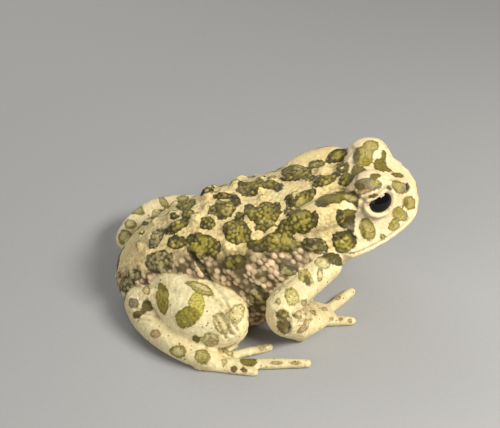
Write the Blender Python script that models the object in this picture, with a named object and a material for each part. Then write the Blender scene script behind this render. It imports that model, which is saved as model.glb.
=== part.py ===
"""A green toad at life size, sitting with its head raised and its legs folded.

The toad faces +X, its left side is +Y and it rests on Z = 0. Sizes are in millimetres and
become metres when a mesh is made. Each body part is one closed mesh object, and neighbours
keep a narrow gap where they meet.
"""

import math
import random

import bmesh
import bpy
import numpy as np
from mathutils import Matrix, Vector
from mathutils.bvhtree import BVHTree

MM = 0.001

# Gap kept between parts that meet, and half of it for a saw cut's two sides
GAP = 0.32
HALF_CUT = GAP / 2
SHELL_MOST = 1.5

# Grain of the clay that pieces are fused in, and how soft its creases are
TRUNK_GRAIN = 0.62
HEAD_GRAIN = 0.5
LIMB_GRAIN = 0.45
SOFT = 12
SLIGHT = 2

# Triangles that each part keeps
FACES = {
    "head": 3800,
    "torso": 3000,
    "thigh": 420,
    "shank": 520,
    "foot": 1020,
    "upper_arm": 320,
    "forearm": 320,
    "hand": 740,
}

# Points round a section, sections between two stations, and every how many of those a tube follows
SEGMENTS = 32
STEPS = 5
TUBE_STRIDE = 3
TUBE_SIDES = 1
END_POLE = 0.8
CAP_ANGLES = (70, 50, 30)

# Points round the ellipsoids of the body's forms, the eyeballs and the small pits and warts
FORM_SEGMENTS = 24
EYE_SEGMENTS = 20
SMALL_SEGMENTS = 12

# The trunk from vent to neck: x, height of the widest level, half width, rise above it, drop below it
TORSO = (
    (-36.2, 5.3, 6.0, 3.2, 4.2),
    (-33.6, 6.2, 9.6, 6.4, 5.8),
    (-28.5, 8.4, 11.4, 9.4, 8.2),
    (-22.0, 10.2, 12.8, 11.7, 10.6),
    (-13.0, 11.6, 15.4, 14.0, 12.4),
    (-4.0, 12.6, 18.6, 15.2, 13.3),
    (5.0, 14.4, 18.4, 16.0, 12.8),
    (12.0, 17.2, 15.2, 15.6, 10.6),
    (18.0, 20.2, 12.8, 13.6, 7.4),
    (22.0, 22.4, 10.0, 10.4, 5.4),
)
# The head from nape to snout, in the same terms. Its widest level is the line of the mouth
HEAD = (
    (11.0, 19.6, 12.6, 11.6, 6.4),
    (15.0, 20.0, 13.8, 13.2, 5.6),
    (19.0, 20.8, 13.6, 13.3, 4.9),
    (23.0, 21.7, 12.2, 13.0, 4.3),
    (27.5, 22.9, 9.6, 11.7, 3.9),
    (31.0, 24.1, 7.0, 9.9, 3.5),
    (33.4, 25.2, 4.9, 7.9, 2.8),
    (34.8, 26.2, 3.1, 5.2, 1.9),
)
TRUNK_SQUARENESS = 2.25
HEAD_SQUARENESS = 2.15

# Eyes, lids, the ridges of the head and the bulge of the belly, given for the left side
EYE_CENTRE = Vector((24.4, 8.1, 32.6))
EYE_RADIUS = 3.9
EYE_FACES_TO = Vector((0.28, 0.93, 0.2))
DOME_CENTRE = Vector((23.6, 7.0, 33.4))
DOME_SIZE = Vector((5.6, 5.0, 5.5))
ORBIT_SIZE = Vector((4.8, 4.6, 4.6))
CROWN_CENTRE = Vector((22.0, 0.0, 33.2))
CROWN_SIZE = Vector((7.0, 6.5, 3.3))
BELLY_CENTRE = Vector((-5.0, 11.4, 6.1))
BELLY_SIZE = Vector((8.5, 7.4, 6.5))
LID_HALF_WIDTH = 2.85
LID_HALF_HEIGHT = 2.6
LID_FLAT = 1.9
LID_DEPTH = 3.0
LID_TILT = 28.0
LID_RISE = 0.55
UPPER_LID_TUBE = 0.85
LOWER_LID_TUBE = 0.7
LID_ANGLES = range(-20, 201, 20)
CANTHUS = ((27.0, 6.6, 33.6, 1.7), (30.0, 4.4, 33.3, 1.5), (32.4, 2.7, 32.3, 1.2))
BROW_FOLD = ((20.6, 8.8, 33.2, 1.3), (18.6, 9.9, 32.0, 1.5))
NOSTRIL = Vector((32.3, 3.8, 33.0))
NOSTRIL_RADIUS = 0.55
MOUTH_FROM_X = 16.5
MOUTH_GROOVE = 0.42
LIP_TUBE = 0.85
LIP_SPREAD = 0.75
EARDRUM = Vector((17.6, 13.2, 25.6))
EARDRUM_RADIUS = 1.7
EARDRUM_RIM = 0.4
EARDRUM_LEAN = -0.25
EARDRUM_ANGLES = range(0, 360, 30)
PAROTOID = (
    (19.4, 9.2, 31.8, 2.5, 2.3),
    (16.0, 10.0, 31.4, 3.6, 3.2),
    (11.6, 10.9, 29.7, 3.8, 3.3),
    (7.0, 11.2, 28.1, 3.0, 2.7),
    (4.2, 11.2, 26.8, 1.6, 1.6),
)
# The cut between head and trunk leans forward, so that most of each parotoid gland is on the trunk
NECK_POINT = Vector((15.6, 0.0, 24.0))
NECK_NORMAL = Vector((0.97, 0.0, -0.22))

# Warts of the back: how many, their radii, how far they stand out and the room between them
WARTS = 62
WART_RADII = (1.0, 1.8)
WART_FLATNESS = 0.78
WART_ROOM = 3.5
WART_SPAN = (-31.0, 14.0)
WART_ANGLE = 78
WART_AXIS = 12.0
WART_LOWEST = 8.0
WART_CLEARANCE = 1.3
WART_SEED = 11
OUTSIDE = 60.0

# Limbs in the pose of the model. Rows are x, y, z, half width and half height, from the root outwards
LEGS = {
    "r": {
        "thigh": (
            (-25.0, -8.2, 8.8, 4.6, 4.8),
            (-18.5, -15.0, 9.2, 5.0, 5.2),
            (-12.5, -18.6, 9.2, 4.8, 5.0),
            (-8.6, -20.6, 8.6, 3.8, 4.4),
        ),
        "shank": (
            (-9.2, -23.2, 7.3, 4.3, 4.9),
            (-12.0, -23.2, 7.6, 5.0, 5.7),
            (-18.0, -20.8, 7.2, 5.2, 5.9),
            (-25.0, -13.8, 6.4, 4.0, 4.4),
            (-30.6, -11.2, 5.2, 3.2, 3.5),
        ),
        "tarsus": (
            (-31.4, -12.0, 4.7, 2.9, 3.5),
            (-28.9, -17.4, 4.0, 2.9, 3.2),
            (-24.2, -23.0, 3.6, 2.8, 3.0),
            (-18.6, -27.0, 2.8, 2.7, 2.7),
            (-13.4, -28.8, 2.0, 2.8, 2.2),
        ),
        "toes": (
            (-11.0, -22.2),
            (-7.4, -22.4),
            (0.8, -23.0),
            (9.8, -28.9),
            (-2.6, -31.9),
        ),
    },
    "l": {
        "thigh": (
            (-26.0, 7.6, 8.6, 4.6, 4.8),
            (-20.5, 14.0, 8.6, 5.0, 5.0),
            (-15.0, 17.4, 8.6, 4.8, 5.0),
            (-12.0, 19.0, 8.4, 4.0, 4.6),
        ),
        "shank": (
            (-12.0, 20.8, 7.8, 4.4, 5.0),
            (-18.0, 20.4, 7.6, 5.0, 5.4),
            (-24.0, 21.6, 7.6, 4.2, 4.7),
            (-28.6, 21.2, 7.3, 3.6, 4.1),
            (-33.2, 17.4, 6.4, 3.3, 3.6),
            (-35.4, 13.6, 5.3, 3.1, 3.3),
        ),
        "tarsus": (
            (-34.6, 14.6, 4.6, 2.8, 3.2),
            (-32.4, 19.6, 3.9, 2.8, 3.0),
            (-27.6, 24.6, 3.5, 2.8, 2.9),
            (-21.8, 27.6, 2.8, 2.7, 2.6),
            (-16.6, 28.8, 2.0, 2.8, 2.2),
        ),
        "toes": (
            (-13.2, 22.6),
            (-9.6, 22.8),
            (-2.6, 24.6),
            (6.6, 30.4),
            (-5.8, 33.0),
        ),
    },
}
ARMS = {
    "r": {
        "upper_arm": (
            (13.6, -14.4, 18.2, 3.3, 3.6),
            (8.7, -18.4, 15.6, 3.2, 3.3),
            (2.9, -22.0, 12.0, 3.7, 3.7),
        ),
        "forearm": ((2.9, -22.0, 12.0, 3.7, 3.7), (3.8, -21.8, 8.4, 4.1, 4.1), (7.2, -19.8, 3.4, 2.7, 2.8)),
        "palm": ((7.2, -19.8, 3.1, 2.6, 2.8), (9.2, -15.6, 2.3, 4.2, 2.5), (12.0, -11.6, 1.75, 4.6, 1.9)),
        "fingers": ((6.0, -7.8), (9.8, -4.8), (20.9, -2.3), (20.4, -13.8)),
    },
    "l": {
        "upper_arm": ((13.8, 14.8, 18.0, 3.8, 4.0), (7.6, 18.8, 15.4, 3.3, 3.4), (1.4, 22.4, 12.0, 3.6, 3.6)),
        "forearm": ((1.4, 22.4, 12.0, 3.6, 3.6), (2.0, 22.8, 8.4, 4.1, 4.1), (4.4, 22.2, 3.6, 2.9, 3.0)),
        "palm": ((4.4, 22.2, 3.4, 2.8, 3.0), (6.6, 18.4, 2.3, 4.1, 2.5), (9.4, 15.4, 1.75, 4.4, 1.9)),
        "fingers": ((6.0, 11.4), (10.6, 9.8), (17.4, 11.4), (17.0, 20.4)),
    },
}
LIMB_SQUARENESS = 2.1

# Toes and fingers, inner one first: radii, and how far their roots lie beside and behind the foot's end.
# The floor takes a little off each digit's underside, which leaves a narrow flat
TOE_RADII = (0.95, 1.0, 1.1, 1.25, 1.1)
TOE_ROOTS = ((-2.3, 2.6), (-1.5, 1.6), (-0.5, 0.6), (0.6, 0.0), (1.5, 2.4))
FINGER_RADII = (1.15, 1.2, 1.35, 1.25)
FINGER_ROOTS = ((-2.8, 1.4), (-1.3, 0.6), (0.8, 0.0), (2.9, 0.8))
DIGIT_FORM = ((0.0, 1.25, 1.2), (0.45, 1.0, 1.0), (0.62, 1.08, 1.05), (0.82, 0.94, 0.95), (0.96, 0.88, 0.9))
DIGIT_FLATNESS = 0.88
DIGIT_STANCE = 0.84
WEB_REACH = 0.36
WEB_HALF_THICKNESS = 0.42
WEB_LEVEL = 0.9

# Colours as linear red, green and blue, with roughness
SKIN_CREAM = (0.62, 0.53, 0.33, 0.62)
SKIN_BACK = (0.34, 0.33, 0.14, 0.66)
EYE_BLACK = (0.012, 0.012, 0.008, 0.08)
SHARP_ANGLE = 50


def clear_scene():
    """Removes whatever the file holds."""
    for obj in list(bpy.data.objects):
        bpy.data.objects.remove(obj)


def material(name, colour):
    """A Principled material of one colour and roughness."""
    made = bpy.data.materials.new(name)
    made.use_nodes = True
    shader = made.node_tree.nodes["Principled BSDF"]
    shader.inputs["Base Color"].default_value = (*colour[:3], 1.0)
    shader.inputs["Roughness"].default_value = colour[3]
    return made


def object_from(name, mesh):
    """Links a mesh to the scene as an object."""
    obj = bpy.data.objects.new(name, mesh)
    bpy.context.scene.collection.objects.link(obj)
    return obj


def eased(stations):
    """Stations with more rows between them, on a Catmull-Rom curve through all their values."""
    rows = np.array(stations, float)
    padded = np.vstack((2 * rows[0] - rows[1], rows, 2 * rows[-1] - rows[-2]))
    found = []
    for i in range(1, len(rows)):
        a, b, c, d = padded[i - 1], padded[i], padded[i + 1], padded[i + 2]
        for t in np.arange(STEPS) / STEPS:
            curve = 2 * b + (c - a) * t + (2 * a - 5 * b + 4 * c - d) * t**2
            found.append((curve + (3 * b - a - 3 * c + d) * t**3) / 2)
    found.append(rows[-1])
    return np.array(found)


def section(centre, side, up, half_width, rise, drop, squareness):
    """The points of one closed section, a superellipse that may be taller above than below."""
    points = []
    for k in range(SEGMENTS):
        angle = math.tau * k / SEGMENTS
        c, s = math.cos(angle), math.sin(angle)
        across = half_width * math.copysign(abs(c) ** (2 / squareness), c)
        height = (rise if s > 0 else drop) * math.copysign(abs(s) ** (2 / squareness), s)
        points.append(centre + side * across + up * height)
    return points


def lofted(name, sections, first_pole, last_pole):
    """A closed mesh through sections of equal length, with a pole at each end."""
    bm = bmesh.new()
    rings = [[bm.verts.new(p * MM) for p in points] for points in sections]
    for near, far in zip(rings, rings[1:]):
        for k in range(SEGMENTS):
            after = (k + 1) % SEGMENTS
            bm.faces.new((near[k], near[after], far[after], far[k]))
    for ring, pole in ((rings[0], first_pole), (rings[-1], last_pole)):
        tip = bm.verts.new(pole * MM)
        for k in range(SEGMENTS):
            bm.faces.new((ring[k], ring[(k + 1) % SEGMENTS], tip))
    bmesh.ops.recalc_face_normals(bm, faces=bm.faces)
    mesh = bpy.data.meshes.new(name)
    bm.to_mesh(mesh)
    bm.free()
    return object_from(name, mesh)


def trunk_loft(name, stations, squareness, nose):
    """A length of trunk or head, whose sections stand across the X axis."""
    rows = eased(stations)
    side, up = Vector((0, 1, 0)), Vector((0, 0, 1))
    sections = [
        section(Vector((x, 0, z)), side, up, width, rise, drop, squareness)
        for x, z, width, rise, drop in rows
    ]
    first, last = rows[0], rows[-1]
    poles = (Vector((first[0] - END_POLE, 0, first[1])), Vector((last[0] + nose, 0, last[1] + nose)))
    return lofted(name, sections, *poles)


def limb(name, path, up=Vector((0, 0, 1))):
    """A length of limb with round ends, along rows of x, y, z, half width and half height."""
    rows = eased(path)
    centres = [Vector(row[:3]) for row in rows]
    sections = []
    for i, (centre, row) in enumerate(zip(centres, rows)):
        along = (centres[min(i + 1, len(rows) - 1)] - centres[max(i - 1, 0)]).normalized()
        side = up.cross(along).normalized()
        rise = along.cross(side)
        sections.append((centre, along, side, rise, row[3], row[4]))
    capped = end_caps(sections[0], -1) + sections + end_caps(sections[-1], 1)[::-1]
    rings = [
        section(centre, side, rise, width, height, height, LIMB_SQUARENESS)
        for centre, _, side, rise, width, height in capped
    ]
    ends = []
    for (centre, along, _, _, width, height), way in ((sections[0], -1), (sections[-1], 1)):
        ends.append(centre + along * way * (width + height) / 2)
    return lofted(name, rings, *ends)


def end_caps(end, way):
    """Sections that round off one end of a limb, from the pole inwards."""
    centre, along, side, rise, width, height = end
    reach = (width + height) / 2
    caps = []
    for degrees in CAP_ANGLES:
        out = math.sin(math.radians(degrees)) * reach
        shrink = math.cos(math.radians(degrees))
        caps.append((centre + along * way * out, along, side, rise, width * shrink, height * shrink))
    return caps


def ellipsoid(name, centre, size, turn=None, segments=FORM_SEGMENTS):
    """A closed ellipsoid with its half sizes along its own axes."""
    bm = bmesh.new()
    bmesh.ops.create_uvsphere(bm, u_segments=segments, v_segments=segments // 2, radius=1.0)
    matrix = Matrix.Translation(centre * MM) @ (turn.to_4x4() if turn else Matrix.Identity(4))
    matrix = matrix @ Matrix.Diagonal((*(size * MM), 1.0))
    bmesh.ops.transform(bm, matrix=matrix, verts=bm.verts)
    mesh = bpy.data.meshes.new(name)
    bm.to_mesh(mesh)
    bm.free()
    return object_from(name, mesh)


def joined(name, pieces):
    """Several objects as one, still as separate shells."""
    bm = bmesh.new()
    for piece in pieces:
        bm.from_mesh(piece.data)
    mesh = bpy.data.meshes.new(name)
    bm.to_mesh(mesh)
    bm.free()
    for piece in pieces:
        bpy.data.objects.remove(piece)
    return object_from(name, mesh)


def settled(obj):
    """Applies an object's modifiers to its mesh."""
    graph = bpy.context.evaluated_depsgraph_get()
    mesh = bpy.data.meshes.new_from_object(obj.evaluated_get(graph))
    obj.modifiers.clear()
    obj.data = mesh
    return obj


def fused(name, pieces, grain, softness):
    """Pieces as one closed body of clay, with its creases smoothed."""
    obj = joined(name, pieces)
    remesh = obj.modifiers.new("clay", "REMESH")
    remesh.mode = "VOXEL"
    remesh.voxel_size = grain * MM
    smooth = obj.modifiers.new("thumb", "SMOOTH")
    smooth.factor = 0.5
    smooth.iterations = softness
    return settled(obj)


def thinned(obj, faces):
    """Reduces a mesh to about that many triangles."""
    obj.data.calc_loop_triangles()
    decimate = obj.modifiers.new("thin", "DECIMATE")
    decimate.ratio = min(1.0, faces / len(obj.data.loop_triangles))
    return settled(obj)


def grown(obj, by):
    """A copy of an object that is larger all round, to be cut from a neighbour."""
    copy = object_from(obj.name + "_grown", obj.data.copy())
    copy.data.calc_loop_triangles()
    bm = bmesh.new()
    bm.from_mesh(copy.data)
    bmesh.ops.triangulate(bm, faces=bm.faces)
    bm.normal_update()
    moved = [v.co + v.normal * by * MM * min(v.calc_shell_factor(), SHELL_MOST) for v in bm.verts]
    for vert, place in zip(bm.verts, moved):
        vert.co = place
    bm.to_mesh(copy.data)
    bm.free()
    return copy


def cut(obj, cutters, solver="EXACT"):
    """Cuts closed shapes from an object and removes them."""
    for cutter in cutters:
        boolean = obj.modifiers.new("cut", "BOOLEAN")
        boolean.operation = "DIFFERENCE"
        boolean.solver = solver
        boolean.object = cutter
        settled(obj)
        bpy.data.objects.remove(cutter)
    return largest(obj)


def clear_of(obj, neighbours):
    """Cuts an object back, so that it keeps the gap to its neighbours.

    A grown neighbour may cross itself in a tight crease, which the exact solver doesn't take.
    """
    return cut(obj, [grown(neighbour, GAP) for neighbour in neighbours], "MANIFOLD")


def largest(obj):
    """Keeps only the largest closed surface of an object."""
    bm = bmesh.new()
    bm.from_mesh(obj.data)
    left = set(bm.verts)
    shells = []
    while left:
        shell, edge_of = set(), [next(iter(left))]
        while edge_of:
            vert = edge_of.pop()
            if vert in shell:
                continue
            shell.add(vert)
            edge_of.extend(e.other_vert(vert) for e in vert.link_edges)
        left -= shell
        shells.append(shell)
    shells.sort(key=len)
    bmesh.ops.delete(bm, geom=[v for shell in shells[:-1] for v in shell], context="VERTS")
    bm.to_mesh(obj.data)
    bm.free()
    return obj


def half(obj, point, normal):
    """Cuts an object flat and keeps the side that the normal points away from."""
    bm = bmesh.new()
    bm.from_mesh(obj.data)
    geometry = bm.verts[:] + bm.edges[:] + bm.faces[:]
    bmesh.ops.bisect_plane(bm, geom=geometry, plane_co=point * MM, plane_no=normal, clear_outer=True)
    rim = [edge for edge in bm.edges if edge.is_boundary]
    bmesh.ops.holes_fill(bm, edges=rim)
    bmesh.ops.recalc_face_normals(bm, faces=bm.faces)
    bm.to_mesh(obj.data)
    bm.free()
    return obj


def flat_underneath(obj):
    """Cuts an object flat at floor level."""
    return half(obj, Vector((0, 0, 0)), Vector((0, 0, -1)))


def surface(obj):
    """The object's surface, for finding points on it."""
    bm = bmesh.new()
    bm.from_mesh(obj.data)
    tree = BVHTree.FromBMesh(bm)
    bm.free()
    return tree


def mirrored(point, side):
    """A point of the left side, or the same one on the right."""
    return Vector((point[0], point[1] * side, point[2]))


def eye_axes(side):
    """Where the eye of that side faces, and the two axes of the opening between its lids."""
    facing = mirrored(EYE_FACES_TO, side).normalized()
    ahead = Vector((1, 0, 0))
    ahead = (ahead - facing * ahead.dot(facing)).normalized()
    above = facing.cross(ahead) * -side
    tilt = math.radians(LID_TILT)
    length = ahead * math.cos(tilt) + above * math.sin(tilt)
    height = above * math.cos(tilt) - ahead * math.sin(tilt)
    return facing, length, height


def lids(side):
    """The rims of the two lids, each a tube along its half of the opening."""
    facing, length, height = eye_axes(side)
    reach = EYE_RADIUS + LID_RISE
    pieces = []
    for way, thickness in ((1, UPPER_LID_TUBE), (-1, LOWER_LID_TUBE)):
        points = []
        for degrees in LID_ANGLES:
            angle = math.radians(degrees)
            across = (LID_HALF_WIDTH + thickness) * math.cos(angle)
            up = (LID_HALF_HEIGHT + thickness) * math.sin(angle) * way
            up = min(up, LID_FLAT + thickness)
            out = math.sqrt(max(reach**2 - across**2 - up**2, 0))
            points.append(mirrored(EYE_CENTRE, side) + facing * out + length * across + height * up)
        pieces.append(tube("lid", points, thickness))
    return pieces


def eardrum(side):
    """The raised rim round the eardrum."""
    centre = mirrored(EARDRUM, side)
    points = []
    for degrees in EARDRUM_ANGLES:
        angle = math.radians(degrees)
        offset = Vector((math.cos(angle), EARDRUM_LEAN * side * math.sin(angle), math.sin(angle)))
        points.append(centre + offset * EARDRUM_RADIUS)
    return tube("eardrum", points, EARDRUM_RIM)


def trunk_clay():
    """Trunk and head with their large forms, as one smooth body."""
    pieces = [
        trunk_loft("torso_form", TORSO, TRUNK_SQUARENESS, 1.0),
        trunk_loft("head_form", HEAD, HEAD_SQUARENESS, 1.0),
    ]
    for side in (1, -1):
        for name, rows in (("canthus", CANTHUS), ("brow", BROW_FOLD)):
            path = [(*mirrored(row, side), row[3], row[3]) for row in rows]
            pieces.append(limb(name, path))
        path = [(*mirrored(row, side), row[3], row[4]) for row in PAROTOID]
        pieces.append(limb("parotoid", path))
        pieces.append(ellipsoid("dome", mirrored(DOME_CENTRE, side), DOME_SIZE))
        pieces.append(ellipsoid("orbit", mirrored(EYE_CENTRE, side), ORBIT_SIZE))
        pieces.append(ellipsoid("belly", mirrored(BELLY_CENTRE, side), BELLY_SIZE))
    pieces.append(ellipsoid("crown", CROWN_CENTRE, CROWN_SIZE))
    return fused("trunk", pieces, TRUNK_GRAIN, SOFT)


def mouth_path(body):
    """Points on the body along the line of the mouth, from one corner round the snout."""
    tree = surface(body)
    left = []
    for x, z, *_ in (row for row in HEAD if row[0] > MOUTH_FROM_X):
        left.append(cast(tree, Vector((x, OUTSIDE, z)), Vector((0, -1, 0))))
    tip = cast(tree, Vector((OUTSIDE, 0, HEAD[-1][1])), Vector((-1, 0, 0)))
    return left + [tip] + [mirrored(p, -1) for p in reversed(left)]


def cast(tree, start, direction):
    """The first point of a surface on a line from outside it."""
    return tree.ray_cast(start * MM, direction.normalized())[0] / MM


def tube(name, points, radius):
    """A round tube along a smooth curve through points."""
    curve = bpy.data.curves.new(name, "CURVE")
    curve.dimensions = "3D"
    spline = curve.splines.new("POLY")
    rows = eased(points)[::TUBE_STRIDE]
    spline.points.add(len(rows) - 1)
    for point, row in zip(spline.points, rows):
        point.co = (*(Vector(row) * MM), 1.0)
    curve.bevel_depth = radius * MM
    curve.bevel_resolution = TUBE_SIDES
    curve.use_fill_caps = True
    guide = object_from(name, curve)
    mesh = bpy.data.meshes.new_from_object(guide)
    bpy.data.objects.remove(guide)
    return closed(object_from(name, mesh))


def closed(obj):
    """Joins a mesh's doubled points and turns its faces outwards."""
    bm = bmesh.new()
    bm.from_mesh(obj.data)
    bmesh.ops.remove_doubles(bm, verts=bm.verts, dist=0.01 * MM)
    bmesh.ops.recalc_face_normals(bm, faces=bm.faces)
    bm.to_mesh(obj.data)
    bm.free()
    return obj


def wart_places(body):
    """Seeded points on the back and flanks, each with room around it, and a radius for each."""
    draw = random.Random(WART_SEED)
    tree = surface(body)
    found = []
    while len(found) < WARTS:
        x = draw.uniform(*WART_SPAN)
        angle = math.radians(draw.uniform(-WART_ANGLE, WART_ANGLE))
        radius = draw.uniform(*WART_RADII)
        outside = Vector((x, math.sin(angle) * OUTSIDE, math.cos(angle) * OUTSIDE))
        hit = cast(tree, outside, Vector((x, 0, WART_AXIS)) - outside)
        if hit.z < WART_LOWEST or on_gland(hit) or under_limb(hit):
            continue
        if all((hit - other).length > WART_ROOM for other, _ in found):
            found.append((hit, radius))
    return found


def on_gland(point):
    """Whether a point lies on a parotoid gland, which has pores and no warts."""
    return near_rows(point, [(*mirrored(row, math.copysign(1, point.y)), *row[3:]) for row in PAROTOID])


def under_limb(point):
    """Whether a limb lies against the trunk at a point."""
    limbs = [ARMS[side]["upper_arm"] for side in "rl"]
    limbs += [LEGS[side][length] for side in "rl" for length in ("thigh", "shank")]
    return any(near_rows(point, eased(rows)) for rows in limbs)


def near_rows(point, rows):
    """Whether a point lies within or close to the sections that rows give."""
    return any((Vector(row[:3]) - point).length < max(row[3:]) + WART_CLEARANCE for row in rows)


def trunk_with_forms(body):
    """Adds lids, lips, eardrums and warts to the smooth trunk, as one closed body."""
    lip = mouth_path(body)
    pieces = []
    for side in (1, -1):
        pieces.extend(lids(side))
        pieces.append(eardrum(side))
    for shift in (LIP_SPREAD, -LIP_SPREAD):
        pieces.append(tube("lip", [p + Vector((0, 0, shift)) for p in lip], LIP_TUBE))
    body = fused("trunk", [body, *pieces], HEAD_GRAIN, SLIGHT)
    warts = [
        ellipsoid("wart", place, Vector((radius, radius, radius * WART_FLATNESS)), segments=SMALL_SEGMENTS)
        for place, radius in wart_places(body)
    ]
    return fused("trunk", [body, *warts], HEAD_GRAIN, SLIGHT)


def carve_head(head):
    """Cuts sockets, the slit between the lids, nostrils, eardrums and the mouth."""
    cutters = []
    for side in (1, -1):
        centre = mirrored(EYE_CENTRE, side)
        cutters.append(ellipsoid("socket", centre, Vector.Fill(3, EYE_RADIUS + GAP)))
        facing, length, height = eye_axes(side)
        turn = Matrix((length, facing, height)).transposed()
        opening = Vector((LID_HALF_WIDTH, LID_DEPTH, LID_HALF_HEIGHT))
        slit = ellipsoid("slit", centre + facing * EYE_RADIUS, opening, turn)
        cutters.append(half(slit, centre + height * LID_FLAT, height))
        nostril = Vector.Fill(3, NOSTRIL_RADIUS)
        cutters.append(ellipsoid("nostril", mirrored(NOSTRIL, side), nostril, segments=SMALL_SEGMENTS))
    cutters.append(tube("mouth", mouth_path(head), MOUTH_GROOVE))
    return cut(head, cutters)


def hind_leg(side):
    """The thigh, shank and foot of one side."""
    rows = LEGS[side]
    thigh = limb("thigh_" + side, rows["thigh"])
    shank = limb("shank_" + side, rows["shank"])
    tarsus = limb("tarsus", rows["tarsus"])
    foot = digits("foot_" + side, tarsus, rows["tarsus"], rows["toes"], TOE_RADII, TOE_ROOTS)
    return thigh, shank, foot


def arm(side):
    """The upper arm, forearm and hand of one side."""
    rows = ARMS[side]
    upper = limb("upper_arm_" + side, rows["upper_arm"])
    fore = limb("forearm_" + side, rows["forearm"], Vector((1, 0, 0)))
    palm = limb("palm", rows["palm"])
    hand = digits("hand_" + side, palm, rows["palm"], rows["fingers"], FINGER_RADII, FINGER_ROOTS)
    return upper, fore, hand


def digits(name, palm, palm_rows, tips, radii, roots):
    """Toes or fingers fanned from the end of a palm, with webs between them, fused to it."""
    root, before = Vector(palm_rows[-1][:3]), Vector(palm_rows[-2][:3])
    along = (root - before).normalized()
    across = along.cross(Vector((0, 0, 1))).normalized()
    if across.xy.dot(Vector(tips[-1]) - Vector(tips[0])) < 0:
        across.negate()
    pieces, lines = [palm], []
    for tip, radius, (aside, behind) in zip(tips, radii, roots):
        base = (root - along * behind + across * aside).xy
        tip = Vector(tip)
        rows = []
        for share, width, height in DIGIT_FORM:
            thickness = radius * height * DIGIT_FLATNESS
            rows.append((*base.lerp(tip, share), thickness * DIGIT_STANCE, radius * width, thickness))
        pieces.append(limb("digit", rows))
        lines.append((base, base.lerp(tip, WEB_REACH)))
    for (base, reach), (next_base, next_reach) in zip(lines, lines[1:]):
        pieces.append(web(base, reach, next_reach, next_base))
    return fused(name, pieces, LIMB_GRAIN, SLIGHT)


def web(*corners):
    """A thin sheet of skin between two digits."""
    bm = bmesh.new()
    thick = Vector((0, 0, WEB_HALF_THICKNESS))
    level = Vector((0, 0, WEB_LEVEL))
    flat = [Vector((p.x, p.y, 0)) + level for p in corners]
    upper = [bm.verts.new((p + thick) * MM) for p in flat]
    lower = [bm.verts.new((p - thick) * MM) for p in flat]
    bm.faces.new(upper)
    bm.faces.new(lower[::-1])
    for k in range(4):
        after = (k + 1) % 4
        bm.faces.new((upper[k], lower[k], lower[after], upper[after]))
    bmesh.ops.recalc_face_normals(bm, faces=bm.faces)
    mesh = bpy.data.meshes.new("web")
    bm.to_mesh(mesh)
    bm.free()
    return object_from("web", mesh)


def saw(first, second, point, normal):
    """Parts two pieces of limb at a joint by a flat cut across it."""
    half(first, point - normal * HALF_CUT, normal)
    half(second, point + normal * HALF_CUT, -normal)


def bisector(before, joint, after):
    """The normal of the plane that halves a joint, pointing on along the limb."""
    return ((joint - before).normalized() + (after - joint).normalized()).normalized()


def eyeball(side):
    """One eyeball in its socket."""
    name = "eye_l" if side > 0 else "eye_r"
    return ellipsoid(name, mirrored(EYE_CENTRE, side), Vector.Fill(3, EYE_RADIUS), segments=EYE_SEGMENTS)


def cut_leg(thigh, shank, foot, torso):
    """Cuts a folded hind leg clear of the trunk, and its own lengths clear of each other."""
    clear_of(shank, [torso])
    clear_of(thigh, [shank, torso])
    clear_of(foot, [shank, torso])


def cut_arm(upper, fore, hand, torso, head, rows):
    """Parts a fore limb from the trunk, and its own lengths from each other."""
    shoulder, elbow = Vector(rows["upper_arm"][-2][:3]), Vector(rows["forearm"][0][:3])
    wrist, palm = Vector(rows["palm"][0][:3]), Vector(rows["palm"][1][:3])
    saw(upper, fore, elbow, bisector(shoulder, elbow, wrist))
    saw(fore, hand, wrist, bisector(elbow, wrist, palm))
    clear_of(upper, [torso, head])
    clear_of(fore, [torso])


def centred(parts):
    """Moves the parts so that the middle of the underside of their box is the origin."""
    places = np.array([v.co for part in parts for v in part.data.vertices])
    low, high = places.min(axis=0), places.max(axis=0)
    shift = Matrix.Translation((-(low[0] + high[0]) / 2, -(low[1] + high[1]) / 2, -low[2]))
    for part in parts:
        part.data.transform(shift)


def main():
    clear_scene()
    body = trunk_with_forms(trunk_clay())
    head = object_from("head", body.data.copy())
    torso = object_from("torso", body.data.copy())
    bpy.data.objects.remove(body)
    saw(torso, head, NECK_POINT, NECK_NORMAL.normalized())
    for piece in (head, torso):
        thinned(piece, FACES[piece.name])
    flat_underneath(torso)
    parts = {"head": head, "torso": torso}
    for side in ("r", "l"):
        upper, fore, hand = arm(side)
        thigh, shank, foot = hind_leg(side)
        limbs = (upper, fore, hand, thigh, shank, foot)
        for piece in limbs:
            thinned(piece, FACES[piece.name[:-2]])
        for piece in (hand, foot):
            flat_underneath(piece)
        cut_arm(upper, fore, hand, torso, head, ARMS[side])
        cut_leg(thigh, shank, foot, torso)
        parts.update({piece.name: piece for piece in limbs})
    carve_head(head)
    for side in (1, -1):
        eye = eyeball(side)
        parts[eye.name] = eye
    cream = material("cream_skin", SKIN_CREAM)
    back = material("back_skin", SKIN_BACK)
    black = material("eye", EYE_BLACK)
    centred(list(parts.values()))
    for name, part in parts.items():
        look = black if name.startswith("eye") else back if name in ("torso", "head") else cream
        part.data.materials.clear()
        part.data.materials.append(look)
        part.data.shade_smooth()
        part.data.set_sharp_from_angle(angle=math.radians(SHARP_ANGLE))


if __name__ == "__main__":
    main()
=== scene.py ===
"""The looks of a life-size green toad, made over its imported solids.

The solids give the toad's shape and size. One skin is drawn over all of its flesh, and its lids,
folds, warts and granules are raised on it. The markings are painted from named spots, each a small
ellipse laid on the skin. The two eyes are pieces of their own. The file is laid out as an add-on
and runs as a script.
"""

import math

import bmesh
import bpy
import numpy as np
from bpy.props import FloatProperty, FloatVectorProperty, IntProperty, PointerProperty
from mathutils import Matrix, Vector
from mathutils.bvhtree import BVHTree
from mathutils.kdtree import KDTree


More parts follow.
